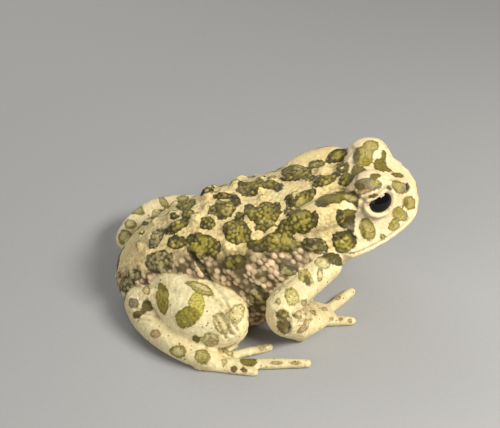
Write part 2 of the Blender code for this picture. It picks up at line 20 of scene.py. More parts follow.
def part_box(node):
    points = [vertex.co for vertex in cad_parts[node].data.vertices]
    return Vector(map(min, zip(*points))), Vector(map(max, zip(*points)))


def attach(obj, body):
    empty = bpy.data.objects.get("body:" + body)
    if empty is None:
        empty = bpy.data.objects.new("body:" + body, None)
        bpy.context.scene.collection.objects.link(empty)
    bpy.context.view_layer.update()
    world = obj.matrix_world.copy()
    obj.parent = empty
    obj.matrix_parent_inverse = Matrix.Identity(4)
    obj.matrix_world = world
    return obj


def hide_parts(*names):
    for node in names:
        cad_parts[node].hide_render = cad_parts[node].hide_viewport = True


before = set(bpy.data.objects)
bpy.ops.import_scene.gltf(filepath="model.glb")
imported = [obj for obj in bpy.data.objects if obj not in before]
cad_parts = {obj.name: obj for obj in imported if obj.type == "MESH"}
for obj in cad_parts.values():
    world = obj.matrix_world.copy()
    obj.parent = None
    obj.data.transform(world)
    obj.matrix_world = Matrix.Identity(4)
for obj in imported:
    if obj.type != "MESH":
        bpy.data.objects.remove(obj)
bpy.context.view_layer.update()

bl_info = {
    "name": "Green Toad Looks",
    "version": (1, 0, 0),
    "blender": (4, 5, 0),
    "location": "3D View > Sidebar > Toad",
    "description": "Dresses the solids of a life-size green toad with its skin, eyes and stage",
    "category": "Object",
}

MM = 0.001

# The toad is laid out in millimetres, from a point on the floor under its heart. The right eye's
# solid says where that point lies in the frame
EYE_AT = np.array((24.4, 8.1, 32.6))
EYE_FACES_TO = np.array((0.28, 0.93, 0.2))
LEFT, RIGHT = 1, -1
FLIP = np.array((1.0, -1.0, 1.0))
ORIGIN = np.array([sum(corner) / 2 for corner in zip(*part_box("eye_r"))]) / MM - EYE_AT * FLIP

# The camera: where it looks, from how far and how high, and its focal length in pixels of the picture
PICTURE = (500, 428)
LOOKS_AT = np.array((-4.3, 0.0, 22.4))
CAMERA_AWAY = 300.0
CAMERA_RISE = math.radians(35)
FOCAL_PIXELS = 1260.0
SENSOR_MM = 36.0

FLESH = {
    "trunk": ("torso",),
    "head": ("head",),
    "arm_r": ("upper_arm_r", "forearm_r"),
    "arm_l": ("upper_arm_l", "forearm_l"),
    "hand_r": ("hand_r",),
    "hand_l": ("hand_l",),
    "leg_r": ("thigh_r", "shank_r"),
    "leg_l": ("thigh_l", "shank_l"),
    "foot_r": ("foot_r",),
    "foot_l": ("foot_l",),
}
FLESH_NODES = tuple(node for nodes in FLESH.values() for node in nodes)
EYE_NODES = ("eye_l", "eye_r")
# Flesh that one spot may run across
FAMILIES = (
    ("trunk", "head"),
    ("arm_r", "hand_r"),
    ("arm_l", "hand_l"),
    ("leg_r", "foot_r"),
    ("leg_l", "foot_l"),
)

# The axis of the trunk and head: x, and the height of the widest level there
AXIS_X = (-36.2, -22.0, -4.0, 5.0, 18.0, 31.0, 35.0)
AXIS_Z = (5.3, 10.2, 12.6, 14.4, 20.2, 24.1, 26.2)

# Angles down from the spine, in degrees, where back turns to flank and flank to belly. Their
# borders wander: by how many degrees, in swells how wide, and a seed. The flank ends in front
FLANK_FROM, FLANK_FULL = 50.0, 64.0
BELLY_FROM, BELLY_FULL = 112.0, 132.0
BORDER_SWELLS = ((5.0, 5.0, 11), (6.0, 1.6, 12))
FLANK_FULL_X, FLANK_ENDS_X = 9.0, 13.0
# Rounds that even out how much of each kind of skin a point has
BODY_BLEND, BELLY_BLEND, FLANK_BLEND, DIGITS_BLEND = 8, 6, 5, 14
MOSTLY = 0.5


def hue(red, green, blue):
    """A colour given as on a paint chart, 0 to 255, as linear light."""
    share = np.array((red, green, blue)) / 255
    return tuple(np.where(share < 0.04045, share / 12.92, ((share + 0.055) / 1.055) ** 2.4))


GROUNDS = {
    "back": hue(226, 207, 146),
    "head": hue(231, 213, 168),
    # The flank's ground is partly its own darker tone and partly painted shade, for the shade that lies on
    # the flank
    "flank": hue(126, 112, 78),
    "belly": hue(222, 212, 178),
    "limb": hue(230, 216, 166),
    "digit": hue(219, 205, 156),
}
# Each tone of marking: its colour, and how far it is hollowed out towards the ground in its middle
TONES = {
    "olive": (hue(112, 101, 36), 0.0),
    "light": (hue(150, 138, 70), 0.1),
    "bright": (hue(140, 127, 46), 0.0),
    "yellow": (hue(190, 178, 82), 0.0),
    "dark": (hue(74, 66, 26), 0.0),
    "brown": (hue(104, 90, 48), 0.0),
    "grey": (hue(132, 121, 88), 0.0),
    "tan": (hue(176, 152, 104), 0.0),
    "ring": (hue(150, 138, 70), 0.55),
    "faint": (hue(184, 170, 112), 0.35),
    "oval": (hue(184, 172, 98), 0.15),
}
# Colours that aren't among the settings in the sidebar
FLUSH_COLOUR = hue(204, 160, 108)
# Painted shade between the flank's tubercles
FLANK_VALLEY_SHADE_COLOUR = hue(68, 58, 36)
SPOT_HEART_COLOUR = hue(164, 150, 66)
# Painted shade in creases, pits and grooves
FOLD_SHADE_COLOUR = hue(58, 48, 26)
FLECK_TINT = (1.5, 1.46, 1.3)
PUPIL_COLOUR = hue(8, 7, 6)
IRIS_VEIN_COLOUR = hue(34, 28, 14)
IRIS_CLOUD_COLOUR = hue(96, 88, 40)
IRIS_RIM_COLOUR = hue(206, 186, 96)

# Spots of the markings: u and v of the middle in the picture, half length and half width in its
# pixels, turn in degrees clockwise from level, and tone. The tone clear lays the ground bare again
BACK_SPOTS = (
    (186, 204, 11, 9, 0, "olive"), (188, 214, 7, 7, 0, "olive"), (175, 216, 5, 4.5, 0, "dark"),
    (183, 199, 6, 4, 0, "light"), (178.5, 213, 3.5, 2.6, 0, "clear"),
    (175, 227, 13, 6, -25, "olive"), (170, 230, 6, 4, -25, "dark"), (185, 220, 4, 3, 0, "dark"),
    (177, 242, 10.5, 7, 0, "dark"), (176, 245, 6, 3.5, 0, "olive"),
    (203, 245, 18, 11.5, 10, "olive"), (205, 245, 11, 8, 0, "bright"), (193, 238, 6, 4.5, -20, "dark"),
    (197, 255, 10, 2.4, 22, "dark"), (213, 250, 5, 6, 30, "olive"),
    (208, 223, 7.5, 6.5, 10, "olive"), (203.5, 225, 4, 4, 0, "dark"),
    (219.5, 210, 7.5, 10.5, 0, "olive"), (222, 213, 4, 5, 0, "dark"), (219, 203, 4, 3, 0, "bright"),
    (230, 207, 5.5, 6.5, 0, "light"), (224, 196, 11, 3.6, 0, "brown"), (235.5, 201, 4.5, 6.5, -30, "dark"),
    (207, 191, 6.5, 4.5, -20, "dark"), (213, 188, 2, 2, 0, "brown"),
    (249, 188.5, 12, 9, -10, "olive"), (243, 185, 5, 4, 30, "dark"), (252, 193, 5, 4, -30, "dark"),
    (259, 183, 6, 4, 0, "bright"), (269, 185.5, 13, 5.4, 0, "olive"), (277, 187.5, 5, 4, 0, "dark"),
    (250, 211, 6.5, 6.5, 20, "olive"), (250, 208, 4, 4, 0, "dark"),
    (267, 214, 14, 13, 0, "olive"), (276, 208, 5, 6, 20, "dark"), (264, 214, 7, 6, 0, "bright"),
    (258, 222, 3.5, 5, -30, "dark"), (268, 224, 6, 4, 0, "light"),
    (289.5, 200, 4.5, 7.5, 0, "dark"), (304, 198.5, 11, 7, -35, "olive"), (300, 203, 5, 3.5, -30, "light"),
    (312, 190.5, 4, 3, 0, "dark"), (324, 198, 9, 7, -35, "olive"), (321, 202.5, 6, 3.5, -20, "dark"),
    (300, 221, 15, 11.5, 0, "olive"), (303, 221, 9.5, 8, 0, "bright"), (314.5, 219, 4, 8, 0, "dark"),
    (290, 213, 6, 3.5, 0, "brown"), (289, 224, 5, 7, 0, "dark"),
    (240, 217, 4.5, 5, 0, "dark"), (237, 232, 15, 12, 15, "olive"), (229, 226, 7, 6.5, 0, "dark"),
    (241, 235, 8, 6, 0, "bright"), (251, 241, 4.5, 6.5, -20, "dark"),
    (273, 242, 22, 9, -8, "olive"), (285, 229, 11, 9, 0, "olive"), (258, 248, 11, 4.5, 5, "dark"),
    (281, 241, 9, 6, 0, "bright"), (287, 231, 5, 5, 0, "bright"), (281, 246, 5, 3, 0, "dark"),
    (296, 172.5, 17, 9.5, 15, "olive"), (291, 177.5, 12, 4.5, 15, "dark"), (284, 164, 7, 5.5, 10, "brown"),
    (300, 170.5, 8, 4, 10, "grey"), (310, 178, 6, 4, 0, "olive"),
    (317, 165, 9, 4.5, 0, "olive"), (317, 165.5, 5, 2, 0, "light"), (272, 178, 4.5, 3.5, 0, "tan"),
    (157, 236, 6, 10, 20, "grey"), (326, 180, 13, 5.5, -5, "olive"), (319, 181, 5, 3, 0, "dark"),
    (250, 225, 11, 2.6, 62, "clear"), (258, 235, 8, 4.6, -15, "clear"), (270, 231.5, 9, 2.6, -35, "clear"),
    (280, 219, 9, 1.9, -62, "clear"), (221, 238, 10, 1.8, 78, "clear"), (284, 206, 6, 1.8, -75, "clear"),
    (214, 217, 6, 1.8, 20, "clear"), (197, 226, 9, 2.4, -75, "clear"), (187, 233, 11, 2.0, -18, "clear"),
)
NECK_SPOTS = (
    (337, 156, 12, 7, -25, "dark"), (340, 155, 6, 3.5, -25, "bright"), (343, 167, 6.5, 6, 0, "olive"),
    (342.5, 168, 2, 2, 0, "clear"), (347.5, 180, 7.5, 6.5, -10, "olive"), (352, 178, 3, 4.5, 0, "dark"),
    (348, 196, 12, 5.5, 15, "dark"), (351, 198, 7, 3, 15, "light"), (336, 199, 8, 5, -20, "olive"),
    (346, 218.5, 9, 8.4, 10, "dark"), (350, 213, 6, 3, -5, "olive"),
    (339, 206.5, 10, 3, 8, "clear"), (344.5, 242, 12, 11.5, 0, "dark"), (345, 244, 8.5, 7.5, 0, "bright"),
    (343.5, 240, 5, 1.3, -35, "yellow"), (346.5, 244.5, 5.5, 1.3, -35, "yellow"),
    (349, 249, 4.5, 1.3, -35, "yellow"), (341, 237, 5, 2.4, -35, "dark"), (342, 230.2, 7, 1.0, -12, "clear"),
    # The dark spot at 316, 246 is partly the skin's dark mottling and partly painted shade in the deep fold
    # between shoulder and neck
    (316, 246, 12, 8, 10, "dark"), (312, 247, 3.5, 3, 0, "grey"),
    (336, 259, 11, 6, 20, "dark"), (323, 252, 4, 3.5, 0, "grey"),
)
FLANK_SPOTS = (
    (160, 262, 14, 11, -15, "grey"), (135, 275, 6.5, 5.5, 0, "grey"), (127, 286, 10, 7, 40, "grey"),
    (235, 262, 11, 8, 0, "olive"), (202, 267, 15, 2.5, 60, "dark"), (289, 271, 9, 6, 0, "grey"),
    (258, 296, 12, 9, 20, "grey"),
)
HEAD_SPOTS = (
    (363, 158, 10.5, 10, 0, "light"), (370.5, 145.5, 8, 5.8, -12, "light"), (357, 157, 4, 7, 0, "brown"),
    (366, 162, 5, 5, 0, "bright"), (381, 165.5, 7.5, 7, 0, "olive"), (384, 155, 2.4, 5, 5, "olive"),
    (388, 170, 4, 2.4, 10, "olive"), (375, 176, 5, 3.2, -10, "olive"), (359, 170.5, 8, 4.8, 0, "olive"),
    (398, 175.3, 6.6, 2.8, 5, "olive"), (364, 191, 7, 3, -10, "tan"), (368, 183.5, 13, 6.2, 5, "grey"),
    (360, 186, 5, 4, 20, "brown"),
    (376, 184, 5.5, 3.5, 0, "light"), (389, 188, 2.6, 2.4, 0, "brown"), (399, 186.5, 10, 6, 25, "light"),
    (405, 188, 3.6, 3, 0, "grey"), (373.5, 196, 4.4, 1.6, -15, "brown"),
    (409.5, 203.3, 6, 6.6, 0, "light"), (406.5, 203.5, 2.2, 4.5, 0, "olive"),
    (399.5, 213.5, 8, 6, 40, "light"), (398, 211.5, 4, 2.6, 40, "bright"), (393.5, 225, 5.2, 6, 20, "light"),
    (392.5, 226, 2.6, 3, 20, "bright"), (367.3, 229.3, 8, 11, -10, "light"),
    (363.5, 232, 2.6, 7, -10, "olive"),
    (383, 237, 2.9, 3.2, 0, "light"),
)
ARM_SPOTS = (
    (304, 275, 8.5, 6, 50, "oval"), (307, 280, 3, 6, -15, "brown"), (321, 262, 9, 5, 25, "faint"),
    (320, 275, 3, 7, 0, "faint"), (292, 297, 9.5, 7, 70, "oval"), (282, 315, 6.5, 5, 0, "light"),
    (281, 313, 5, 2.2, -15, "brown"), (284, 327, 6.5, 7.5, -15, "brown"), (286, 331, 3, 3.5, 0, "grey"),
    (299, 315, 5, 5, 0, "faint"), (305, 326, 9, 4.2, -42, "tan"), (308, 322, 5, 2, -42, "faint"),
    (278, 301, 2.5, 3.5, 20, "faint"), (313, 312, 4, 2.5, 40, "faint"), (304, 303, 3, 3, 0, "faint"),
    (324, 309, 3, 2.4, 0, "faint"), (331, 319, 2, 1.8, 0, "tan"), (341, 319, 2, 1.8, 0, "tan"),
    (350, 321, 2, 2, 0, "tan"), (338, 298, 3, 2, -30, "faint"),
)
SHANK_SPOTS = (
    (162, 298, 7, 14, 3, "bright"), (197, 302, 8, 9.5, 20, "yellow"), (186, 317, 12, 9.5, -30, "bright"),
    (210, 340, 7.5, 7.5, 0, "faint"), (211, 341, 4, 4.5, 0, "tan"), (148, 306, 4.5, 7, -20, "brown"),
    (146, 290, 4, 4, 0, "faint"), (133, 303, 5, 5, 0, "grey"), (200, 288, 15, 5, 25, "light"),
    (201, 287, 9, 1.6, 25, "faint"), (222, 324, 8, 11, -15, "faint"),
    (237, 313, 8, 7, 30, "faint"), (196, 339, 4, 3, 20, "brown"), (138, 314, 6, 3, -30, "brown"),
)
FOOT_SPOTS = (
    (178, 352, 7.5, 6, 20, "ring"), (202, 356, 8, 7, 15, "light"), (155, 334, 5, 4, 0, "tan"),
    (249, 361, 8.5, 4.2, 5, "olive"), (234, 369, 3, 2.8, 0, "brown"), (244, 370, 3, 2.2, 0, "brown"),
    (277, 363, 6, 1.6, 0, "tan"), (295, 363, 4, 1.5, 0, "tan"), (262, 348, 4, 1.8, -15, "faint"),
    (228, 352, 6, 2.5, 20, "faint"), (224, 362, 3, 3, 0, "faint"),
)
FAR_LEG_SPOTS = (
    (155, 213, 6.5, 6.5, 0, "ring"), (136, 210, 6.5, 5, 0, "light"), (163, 201, 7.5, 3.4, 55, "light"),
    (130, 224, 6, 4.8, 0, "ring"), (125, 237, 7, 7, 0, "ring"), (146, 224, 4, 2.4, 20, "brown"),
    (142, 232, 3, 2.4, 0, "faint"),
)
SPOTS = (
    BACK_SPOTS + NECK_SPOTS + FLANK_SPOTS + HEAD_SPOTS + ARM_SPOTS + SHANK_SPOTS + FOOT_SPOTS + FAR_LEG_SPOTS
)

# Where the picture doesn't reach, spots are drawn by lot: the flesh, how far apart, the least and
# most half length, and the tones in their shares
LOT_SPOTS = (
    (("trunk",), 6.0, (1.6, 3.5), ("olive", "bright", "olive", "dark", "light")),
    (("head",), 5.4, (1.2, 2.2), ("light", "olive", "light", "bright")),
    (("arm_r", "arm_l", "leg_r", "leg_l"), 5.0, (1.0, 2.0), ("ring", "light", "ring", "olive", "faint")),
    (("hand_r", "hand_l", "foot_r", "foot_l"), 4.2, (0.6, 1.3), ("light", "faint", "ring", "tan")),
)
LOT_SEED = 5
LOT_SLIMMEST = 0.62
LOT_LOWEST_Z = 5.0
LOT_MOST_FLANK, LOT_MOST_BELLY = 0.2, 0.02
# The camera sees skin that faces it by more than SEEN_FROM, where a ray that starts a little above
# the skin reaches it. A spot of the picture lies on a plane that faces it by at least LEAST_FACING
SEEN_FROM = 0.12
SEEN_FROM_ABOVE = 0.4
SEEN_BLEND = 4
LEAST_FACING = 0.6
# Millimetres inside the edge of a spot: where there is none, and at most where the picture reaches
# and a spot was drawn by lot
FAR_OUTSIDE = -3.0
LOT_IN_PICTURE = -0.8
# Lobes of the spots' edges, as shares of a spot's size, in swells how wide, and a seed
LOBES = ((0.14, 2.0, 21), (0.1, 0.9, 22))
# How far off its plane a spot reaches, as a share of its size and in millimetres more, and how far
# the skin there may face away
SPOT_REACH, SPOT_REACH_MORE = 1.2, 1.5
SPOT_FACES_FROM = -0.1

# Creases as lines of the picture, dug in and darkened with painted shade: their points, half width and depth
# in millimetres
CREASES = (
    (((190, 254), (203, 266), (212, 283), (226, 298)), 0.45, 0.4),
    (((212, 299), (220, 304), (226, 313)), 0.34, 0.4),
    (((222, 297), (229, 305), (233, 313)), 0.3, 0.35),
    (((219, 311), (226, 322), (232, 334)), 0.34, 0.5),
    (((225, 310), (232, 320), (238, 331)), 0.3, 0.4),
    (((215, 318), (221, 329), (226, 338)), 0.3, 0.35),
    (((136, 308), (143, 313), (150, 314)), 0.35, 0.35),
    (((133, 314), (140, 319), (149, 320)), 0.35, 0.3),
    (((146, 300), (154, 309), (160, 318)), 0.35, 0.3),
    (((338, 188), (350, 192), (361, 199), (368, 206)), 0.4, 0.3),
    (((352, 203), (361, 210), (368, 214)), 0.32, 0.25),
    (((352, 160), (353, 170), (356, 178)), 0.5, 0.2),
    (((349, 232), (355, 240), (349, 246)), 0.35, 0.3),
    (((338, 236), (346, 242)), 0.3, 0.25),
    (((333, 246), (341, 251), (346, 250)), 0.35, 0.35),
    (((305, 304), (311, 300)), 0.35, 0.25),
    (((298, 322), (309, 318), (311, 312)), 0.3, 0.15),
    (((277, 317), (283, 319), (288, 316)), 0.32, 0.45),
    (((293, 314), (299, 318), (303, 313)), 0.32, 0.45),
    (((307, 305), (312, 310), (315, 315)), 0.35, 0.35),
    (((289, 319), (290.5, 327), (288, 334)), 0.4, 0.5),
    (((384, 178.5), (392, 181), (400, 182.5), (406, 183.5)), 0.28, 0.25),
    (((316, 300), (322, 297), (328, 292)), 0.35, 0.2),
)
# Those of trunk and head lie on the left too, shallower there. All of them wander, and their depth
# changes along their way: how much, in swells how wide, and a seed
MIRRORED = ("trunk", "head")
MIRRORED_DEPTH = 0.5
CREASE_WANDER, CREASE_WANDER_SWELL = 0.35, 1.3
CREASE_WANDER_SEEDS = (41, 42, 43)
CREASE_DEPTH, CREASE_DEPTH_SWELL = 0.95, (0.6, 2.2, 44)
CREASE_DEPTH_RANGE = (0.2, 1.4)
# How dark the painted shade along a crease is
CREASE_DARK = 0.8
CREASE_STEPS = 5
# Skin swells along both sides of a groove: how high for its depth, and how far off for its half width
BANK_HIGH, BANK_AWAY = 0.35, 2.3

# The eyes and lids, in the toad's millimetres
EYE_RADIUS = 3.9
EYE_SHOWS_BY = 0.5
SLIT_HALF_LENGTH = 3.2
SLIT_HALF_HEIGHT = 2.7
SLIT_TOP = 1.9
SLIT_TILT = math.radians(28)
# Rim, fold and ridge round the slit: how far outside its edge, their half width, their height at
# the lower lid, and what the upper lid adds to it
LID_WAVES = ((0.36, 0.3, 0.12, 0.16), (1.15, 0.24, -0.16, -0.14), (1.7, 0.4, 0.2, 0.0))
LID_REACH = 4.0
LID_HUGS_EYE, LID_OVER_EYE = 0.7, 0.1
LIDS_MEET = 0.6
LID_TURNS_IN = (-0.14, 0.16)
# Painted shade in the fold round the slit, with how dark, how far out and its half width, and at the slit's
# edge where the lid turns in, with how dark and where it begins and is full
LID_FOLD_DARK, LID_FOLD_AWAY, LID_FOLD_HALF_WIDTH = 0.8, 1.15, 0.22
LID_EDGE_DARK, LID_EDGE = 1.5, (-0.06, 0.12)

# Nostrils, eardrums, mouth and glands. A pair of distances tells where a change begins and where it
# is full. The mouth's line is given by x and z, and is looked for from beside the toad
NOSTRIL_AT = np.array((32.1, 4.0, 32.9))
NOSTRIL_SHAPE = np.array((1.1, 1.1, 0.8))
NOSTRIL_DEEP, NOSTRIL_PIT = 1.1, (0.91, 0.1)
NOSTRIL_RIM_HIGH, NOSTRIL_RIM_AT, NOSTRIL_RIM_HALF_WIDTH = 0.14, 1.4, 0.35
# Painted shade in the nostril's pit: how dark, and where it begins and where it is full
NOSTRIL_DARK, NOSTRIL_DARK_PIT = 1.6, (1.19, 0.63)
EARDRUM_AT = np.array((17.6, 13.2, 25.6))
EARDRUM_RADIUS = 1.55
EARDRUM_DEEP, EARDRUM_HALF_WIDTH = 0.14, 0.28
# Painted shade round the eardrum's edge: how dark, and its half width
EARDRUM_DARK, EARDRUM_DARK_HALF_WIDTH = 0.35, 0.3
MOUTH = ((16.2, 20.0), (18.7, 20.8), (22.7, 21.7), (27.2, 22.9), (30.7, 24.1), (33.1, 25.2), (34.6, 26.2))
LIPS_MEET_Z = 26.4
LIP_TIP = np.array((35.2, 0.0, 26.6))
MOUTH_HALF_WIDTH = 0.3
MOUTH_DEPTHS, MOUTH_DEEPENS = (0.084, 0.42), (1.0, 4.0)
# Painted shade along the mouth: how dark, and its half width
MOUTH_DARK, MOUTH_DARK_HALF_WIDTH = 0.9, 0.24
BESIDE_TOAD = 60.0
GLAND = ((8.0, 9.4, 29.6), (12.5, 10.4, 31.2), (17.5, 9.8, 31.4))
GLAND_HALF_WIDTH, GLAND_EDGE = 3.0, 0.8

# How the solids turn to smooth skin: the weld, the two shares of ironing, the rounds of softening
# and where they work, and how far the chin is drawn back
WELD = 0.001
IRONING = (0.5, -0.52)
SOFTENING = 12
TRUNK_SOFT_BLEND = 10
LIDS_SOFTENED, LIDS_SOFT_FROM, LIDS_SOFT_TO = 0.5, (1.2, 1.45), (2.3, 1.9)
NOSTRIL_SOFT = (2.6, 1.4)
LIP_SOFTENING, LIP_SPREAD, LIP_SOFT = 14, 4, (5.2, 2.6)
CHIN = np.array((34.5, 0.0, 24.5))
CHIN_REACH = 4.0
CHIN_BACK = 0.7

# Bumps of the skin: how far apart, how high, and a seed
DOME_RADII, DOME_SIZES = (0.5, 0.8), (0.5, 1.0)
DOMES_NEAR = 3
GRANULES_APART, GRANULES_SEED = 0.85, 31
# The granules' heights outside the spots and in them
BACK_GRANULES = (0.17, 0.32)
LIMB_GRANULES = (0.09, 0.19)
HEAD_GRANULES = (0.06, 0.11)
BELLY_GRANULES = 0.07
SPOTTED = (-0.2, 0.5)
DIGITS_LOWER = 0.4
HEAD_GRAINY = 0.6
LEVEL_TIP = 0.5
# Tubercles and folds of the flank run one way and are stretched along it
TUBERCLES_APART, TUBERCLES_HIGH, TUBERCLES_SEED = 1.05, 0.46, 32
TUBERCLES_FILL = 0.85
TUBERCLES_RUN = np.array((0.75, 0.0, -0.66))
TUBERCLES_STRETCH = 1.45
FOLDS_APART, FOLDS_HIGH, FOLDS_SWELL = 3.4, 0.3, (0.9, 4.0, 34)
PORES_APART, PORES_DEEP, PORES_SEED = 1.15, 0.1, 33
PORES_HALF_WIDTH, PORES_FROM = 0.22, 0.2
WRINKLES_DEEP, WRINKLES_SWELL, WRINKLES_SEED = 0.1, 1.5, 35
WRINKLES_FROM = 0.86
SPOTS_HIGH, SPOTS_FULL_AT = 0.22, 1.6
# How warty all skin is at least, and the darkest that the painted shade in a fold gets
LEAST_WARTY = 0.25
DARKEST = 1.6

# The stage: the floor's edge in metres, the place that the lights aim at, and for each light its
# name, its place, its length and width in millimetres, and its colour
FLOOR_SIZE = 4.0
LIGHTS_AIM_AT = np.array((0.0, 0.0, 15.0))
LIGHTS = (
    ("key", (190, -130, 230), (190, 75), (1.0, 0.97, 0.92)),
    ("fill", (-160, -220, 120), (260, 260), (0.96, 0.98, 1.0)),
    ("rear", (-140, 220, 200), (200, 200), (1.0, 1.0, 1.0)),
)


def smooth(low, high, value):
    """0 below low, 1 above high, and an even curve between them."""
    share = np.clip((value - low) / (high - low), 0, 1)
    return share * share * (3 - 2 * share)


def lattice(cell, seed):
    """A fixed number from -1 to 1 for each cell of a cubic lattice."""
    mixed = cell[:, 0] * 73856093 ^ cell[:, 1] * 19349663 ^ cell[:, 2] * 83492791 ^ seed * 26544357
    mixed = (mixed ^ (mixed >> 13)) * 1274126177
    return ((mixed >> 7) & 0xFFFF) / 0x7FFF - 1


def noise(points, size, seed):
    """Smooth noise from -1 to 1, with swells about as wide as size."""
    at = points / size
    cell = np.floor(at).astype(np.int64)
    part = smooth(0, 1, at - cell)
    total = np.zeros(len(points))
    for corner in np.ndindex(2, 2, 2):
        weight = np.prod(np.where(corner, part, 1 - part), axis=1)
        total += weight * lattice(cell + corner, seed)
    return total


def swells(points, *kinds):
    """The sum of several noises, each given by its height, the width of its swells and its seed."""
    return sum(high * noise(points, wide, seed) for high, wide, seed in kinds)


def bell(off, middle, half_width):
    """1 where off is at the middle, falling evenly to 0 on both sides."""
    return np.exp(-(((off - middle) / half_width) ** 2))


def between(ends, share):
    """From the first of two values to the second, by the share."""
    return ends[0] + (ends[1] - ends[0]) * share


def unit(vector):
    """The vector at length one."""
    return vector / np.linalg.norm(vector)


def tree_of(points):
    """A search tree over an array of points."""
    tree = KDTree(len(points))
    for index, point in enumerate(points):
        tree.insert(point, index)
    tree.balance()
    return tree


def strewn(points, apart, seed):
    """Numbers of some of the points, picked by lot so that none are nearer than apart."""
    tree = tree_of(points)
    free = np.ones(len(points), dtype=bool)
    picked = []
    for index in np.random.default_rng(seed).permutation(len(points)):
        if free[index]:
            picked.append(index)
            free[[near[1] for near in tree.find_range(points[index], apart)]] = False
    return picked


def domes(points, apart, seed, fill=1.0):
    """Round bumps over the points: how high on its bump each point is, from 0 to 1, and the bump's lot."""
    picked = strewn(points, apart, seed)
    tops = tree_of(points[picked])
    chance = np.random.default_rng(seed)
    radius = apart * chance.uniform(*DOME_RADII, len(picked))
    size = chance.uniform(*DOME_SIZES, len(picked)) * (chance.random(len(picked)) < fill)
    lot = chance.random(len(picked))
    height = np.zeros(len(points))
    kind = np.zeros(len(points))
    near = [tops.find_n(point, DOMES_NEAR) for point in points]
    for place in range(DOMES_NEAR):
        top = np.array([each[place][1] for each in near])
        off = np.array([each[place][2] for each in near])
        rise = np.sqrt(np.clip(1 - (off / radius[top]) ** 2, 0, 1)) * size[top]
        kind = np.where(rise > height, lot[top], kind)
        height = np.maximum(height, rise)
    return height, kind


def line_distance(points, line):
    """How far each point is from a line through the given points."""
    nearest = np.full(len(points), np.inf)
    for start, end in zip(line[:-1], line[1:]):
        run = end - start
        share = np.clip((points - start) @ run / max(run @ run, 1e-9), 0, 1)
        nearest = np.minimum(nearest, np.linalg.norm(points - start - share[:, None] * run, axis=1))
    return nearest


def on_side(place, side):
    """A place or direction on the left, or its mirror image on the right."""
    return place * np.array((1.0, side, 1.0))


def eye_axes(side):
    """The eye's outward direction, and the length and height directions of its slit."""
    facing = unit(on_side(EYE_FACES_TO, side))
    ahead = unit(np.array((1.0, 0.0, 0.0)) - facing[0] * facing)
    above = np.cross(facing, ahead) * -side
    length = ahead * math.cos(SLIT_TILT) + above * math.sin(SLIT_TILT)
    height = above * math.cos(SLIT_TILT) - ahead * math.sin(SLIT_TILT)
    return facing, length, height


def camera_axes():
    """The camera's right, up and backward directions."""
    rise, away = math.sin(CAMERA_RISE), math.cos(CAMERA_RISE)
    return np.array((1.0, 0.0, 0.0)), np.array((0.0, rise, away)), np.array((0.0, -away, rise))


def camera_place():
    """Where the camera stands."""
    return LOOKS_AT + camera_axes()[2] * CAMERA_AWAY


def ray(across, down):
    """The direction in which the camera sees one point of the picture."""
    right, up, back = camera_axes()
    level, drop = across - PICTURE[0] / 2, down - PICTURE[1] / 2
    return unit(right * level - up * drop - back * FOCAL_PIXELS)


class Skin:
    """The skin's mesh as arrays in the toad's millimetres, with the steps that shape and paint it."""

    def __init__(self, mesh):
        self.mesh = mesh
        count = len(mesh.vertices)
        places = np.empty(count * 3)
        mesh.vertices.foreach_get("co", places)
        self.points = places.reshape(-1, 3) / MM - ORIGIN
        ends = np.empty(len(mesh.edges) * 2, dtype=np.int32)
        mesh.edges.foreach_get("vertices", ends)
        self.edges = ends.reshape(-1, 2)
        self.links = np.maximum(np.bincount(ends, minlength=count), 1)
        self.settle()

    def settle(self):
        """Writes the points to the mesh and reads its new normals."""
        self.mesh.vertices.foreach_set("co", ((self.points + ORIGIN) * MM).ravel())
        self.mesh.update()
        normals = np.empty(len(self.points) * 3)
        self.mesh.vertex_normals.foreach_get("vector", normals)
        self.normals = normals.reshape(-1, 3)

    def spread(self, values, rounds=1, share=0.5):
        """The values, each moved by a share towards the mean of its neighbours, as often as asked."""
        values = np.array(values, dtype=float)
        columns = values.reshape(len(values), -1)
        one, other = self.edges.T
        for _ in range(rounds):
            for column in columns.T:
                total = np.bincount(one, column[other], len(column))
                total += np.bincount(other, column[one], len(column))
                column += share * (total / self.links - column)
        return values

    def iron(self, rounds):
        """Takes the steps out of the surface and keeps its size."""
        for _ in range(rounds):
            for share in IRONING:
                self.points = self.spread(self.points, 1, share)
        self.settle()

    def swell(self, heights):
        """Moves the surface outwards by these heights."""
        self.points = self.points + self.normals * np.reshape(heights, (-1, 1))
        self.settle()

    def surface(self):
        """The surface as it stands, for rays and nearest points."""
        faces = [tuple(face.vertices) for face in self.mesh.polygons]
        return BVHTree.FromPolygons(self.points.tolist(), faces)

    def away_from(self, place):
        """How far each point is from a place."""
        return np.linalg.norm(self.points - place, axis=1)

    def nearest(self, place):
        """The number of the point nearest a place."""
        return int(np.argmin(self.away_from(place)))


def flesh_copy(node, growth):
    """The mesh of one solid in metres, welded and grown outwards."""
    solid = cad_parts[node]
    copy = bmesh.new()
    copy.from_mesh(solid.data)
    copy.transform(solid.matrix_world)
    bmesh.ops.remove_doubles(copy, verts=copy.verts, dist=WELD * MM)
    copy.normal_update()
    for vertex in copy.verts:
        vertex.co += vertex.normal * growth
    return copy


def join_flesh(growth):
    """One mesh of all the flesh and both eyeballs, grown so that neighbours overlap."""
    joined = bmesh.new()
    for node in FLESH_NODES + EYE_NODES:
        copy = flesh_copy(node, growth)
        single = bpy.data.meshes.new(node)
        copy.to_mesh(single)
        copy.free()
        joined.from_mesh(single)
        bpy.data.meshes.remove(single)
    mesh = bpy.data.meshes.new("flesh")
    joined.to_mesh(mesh)
    joined.free()
    return mesh


def with_modifier(mesh, kind, **settings):
    """The mesh as one modifier leaves it."""
    holder = bpy.data.objects.new("holder", mesh)
    bpy.context.scene.collection.objects.link(holder)
    modifier = holder.modifiers.new(kind, kind)
    for name, value in settings.items():
        setattr(modifier, name, value)
    result = bpy.data.meshes.new_from_object(holder.evaluated_get(bpy.context.evaluated_depsgraph_get()))
    bpy.data.objects.remove(holder)
    return result


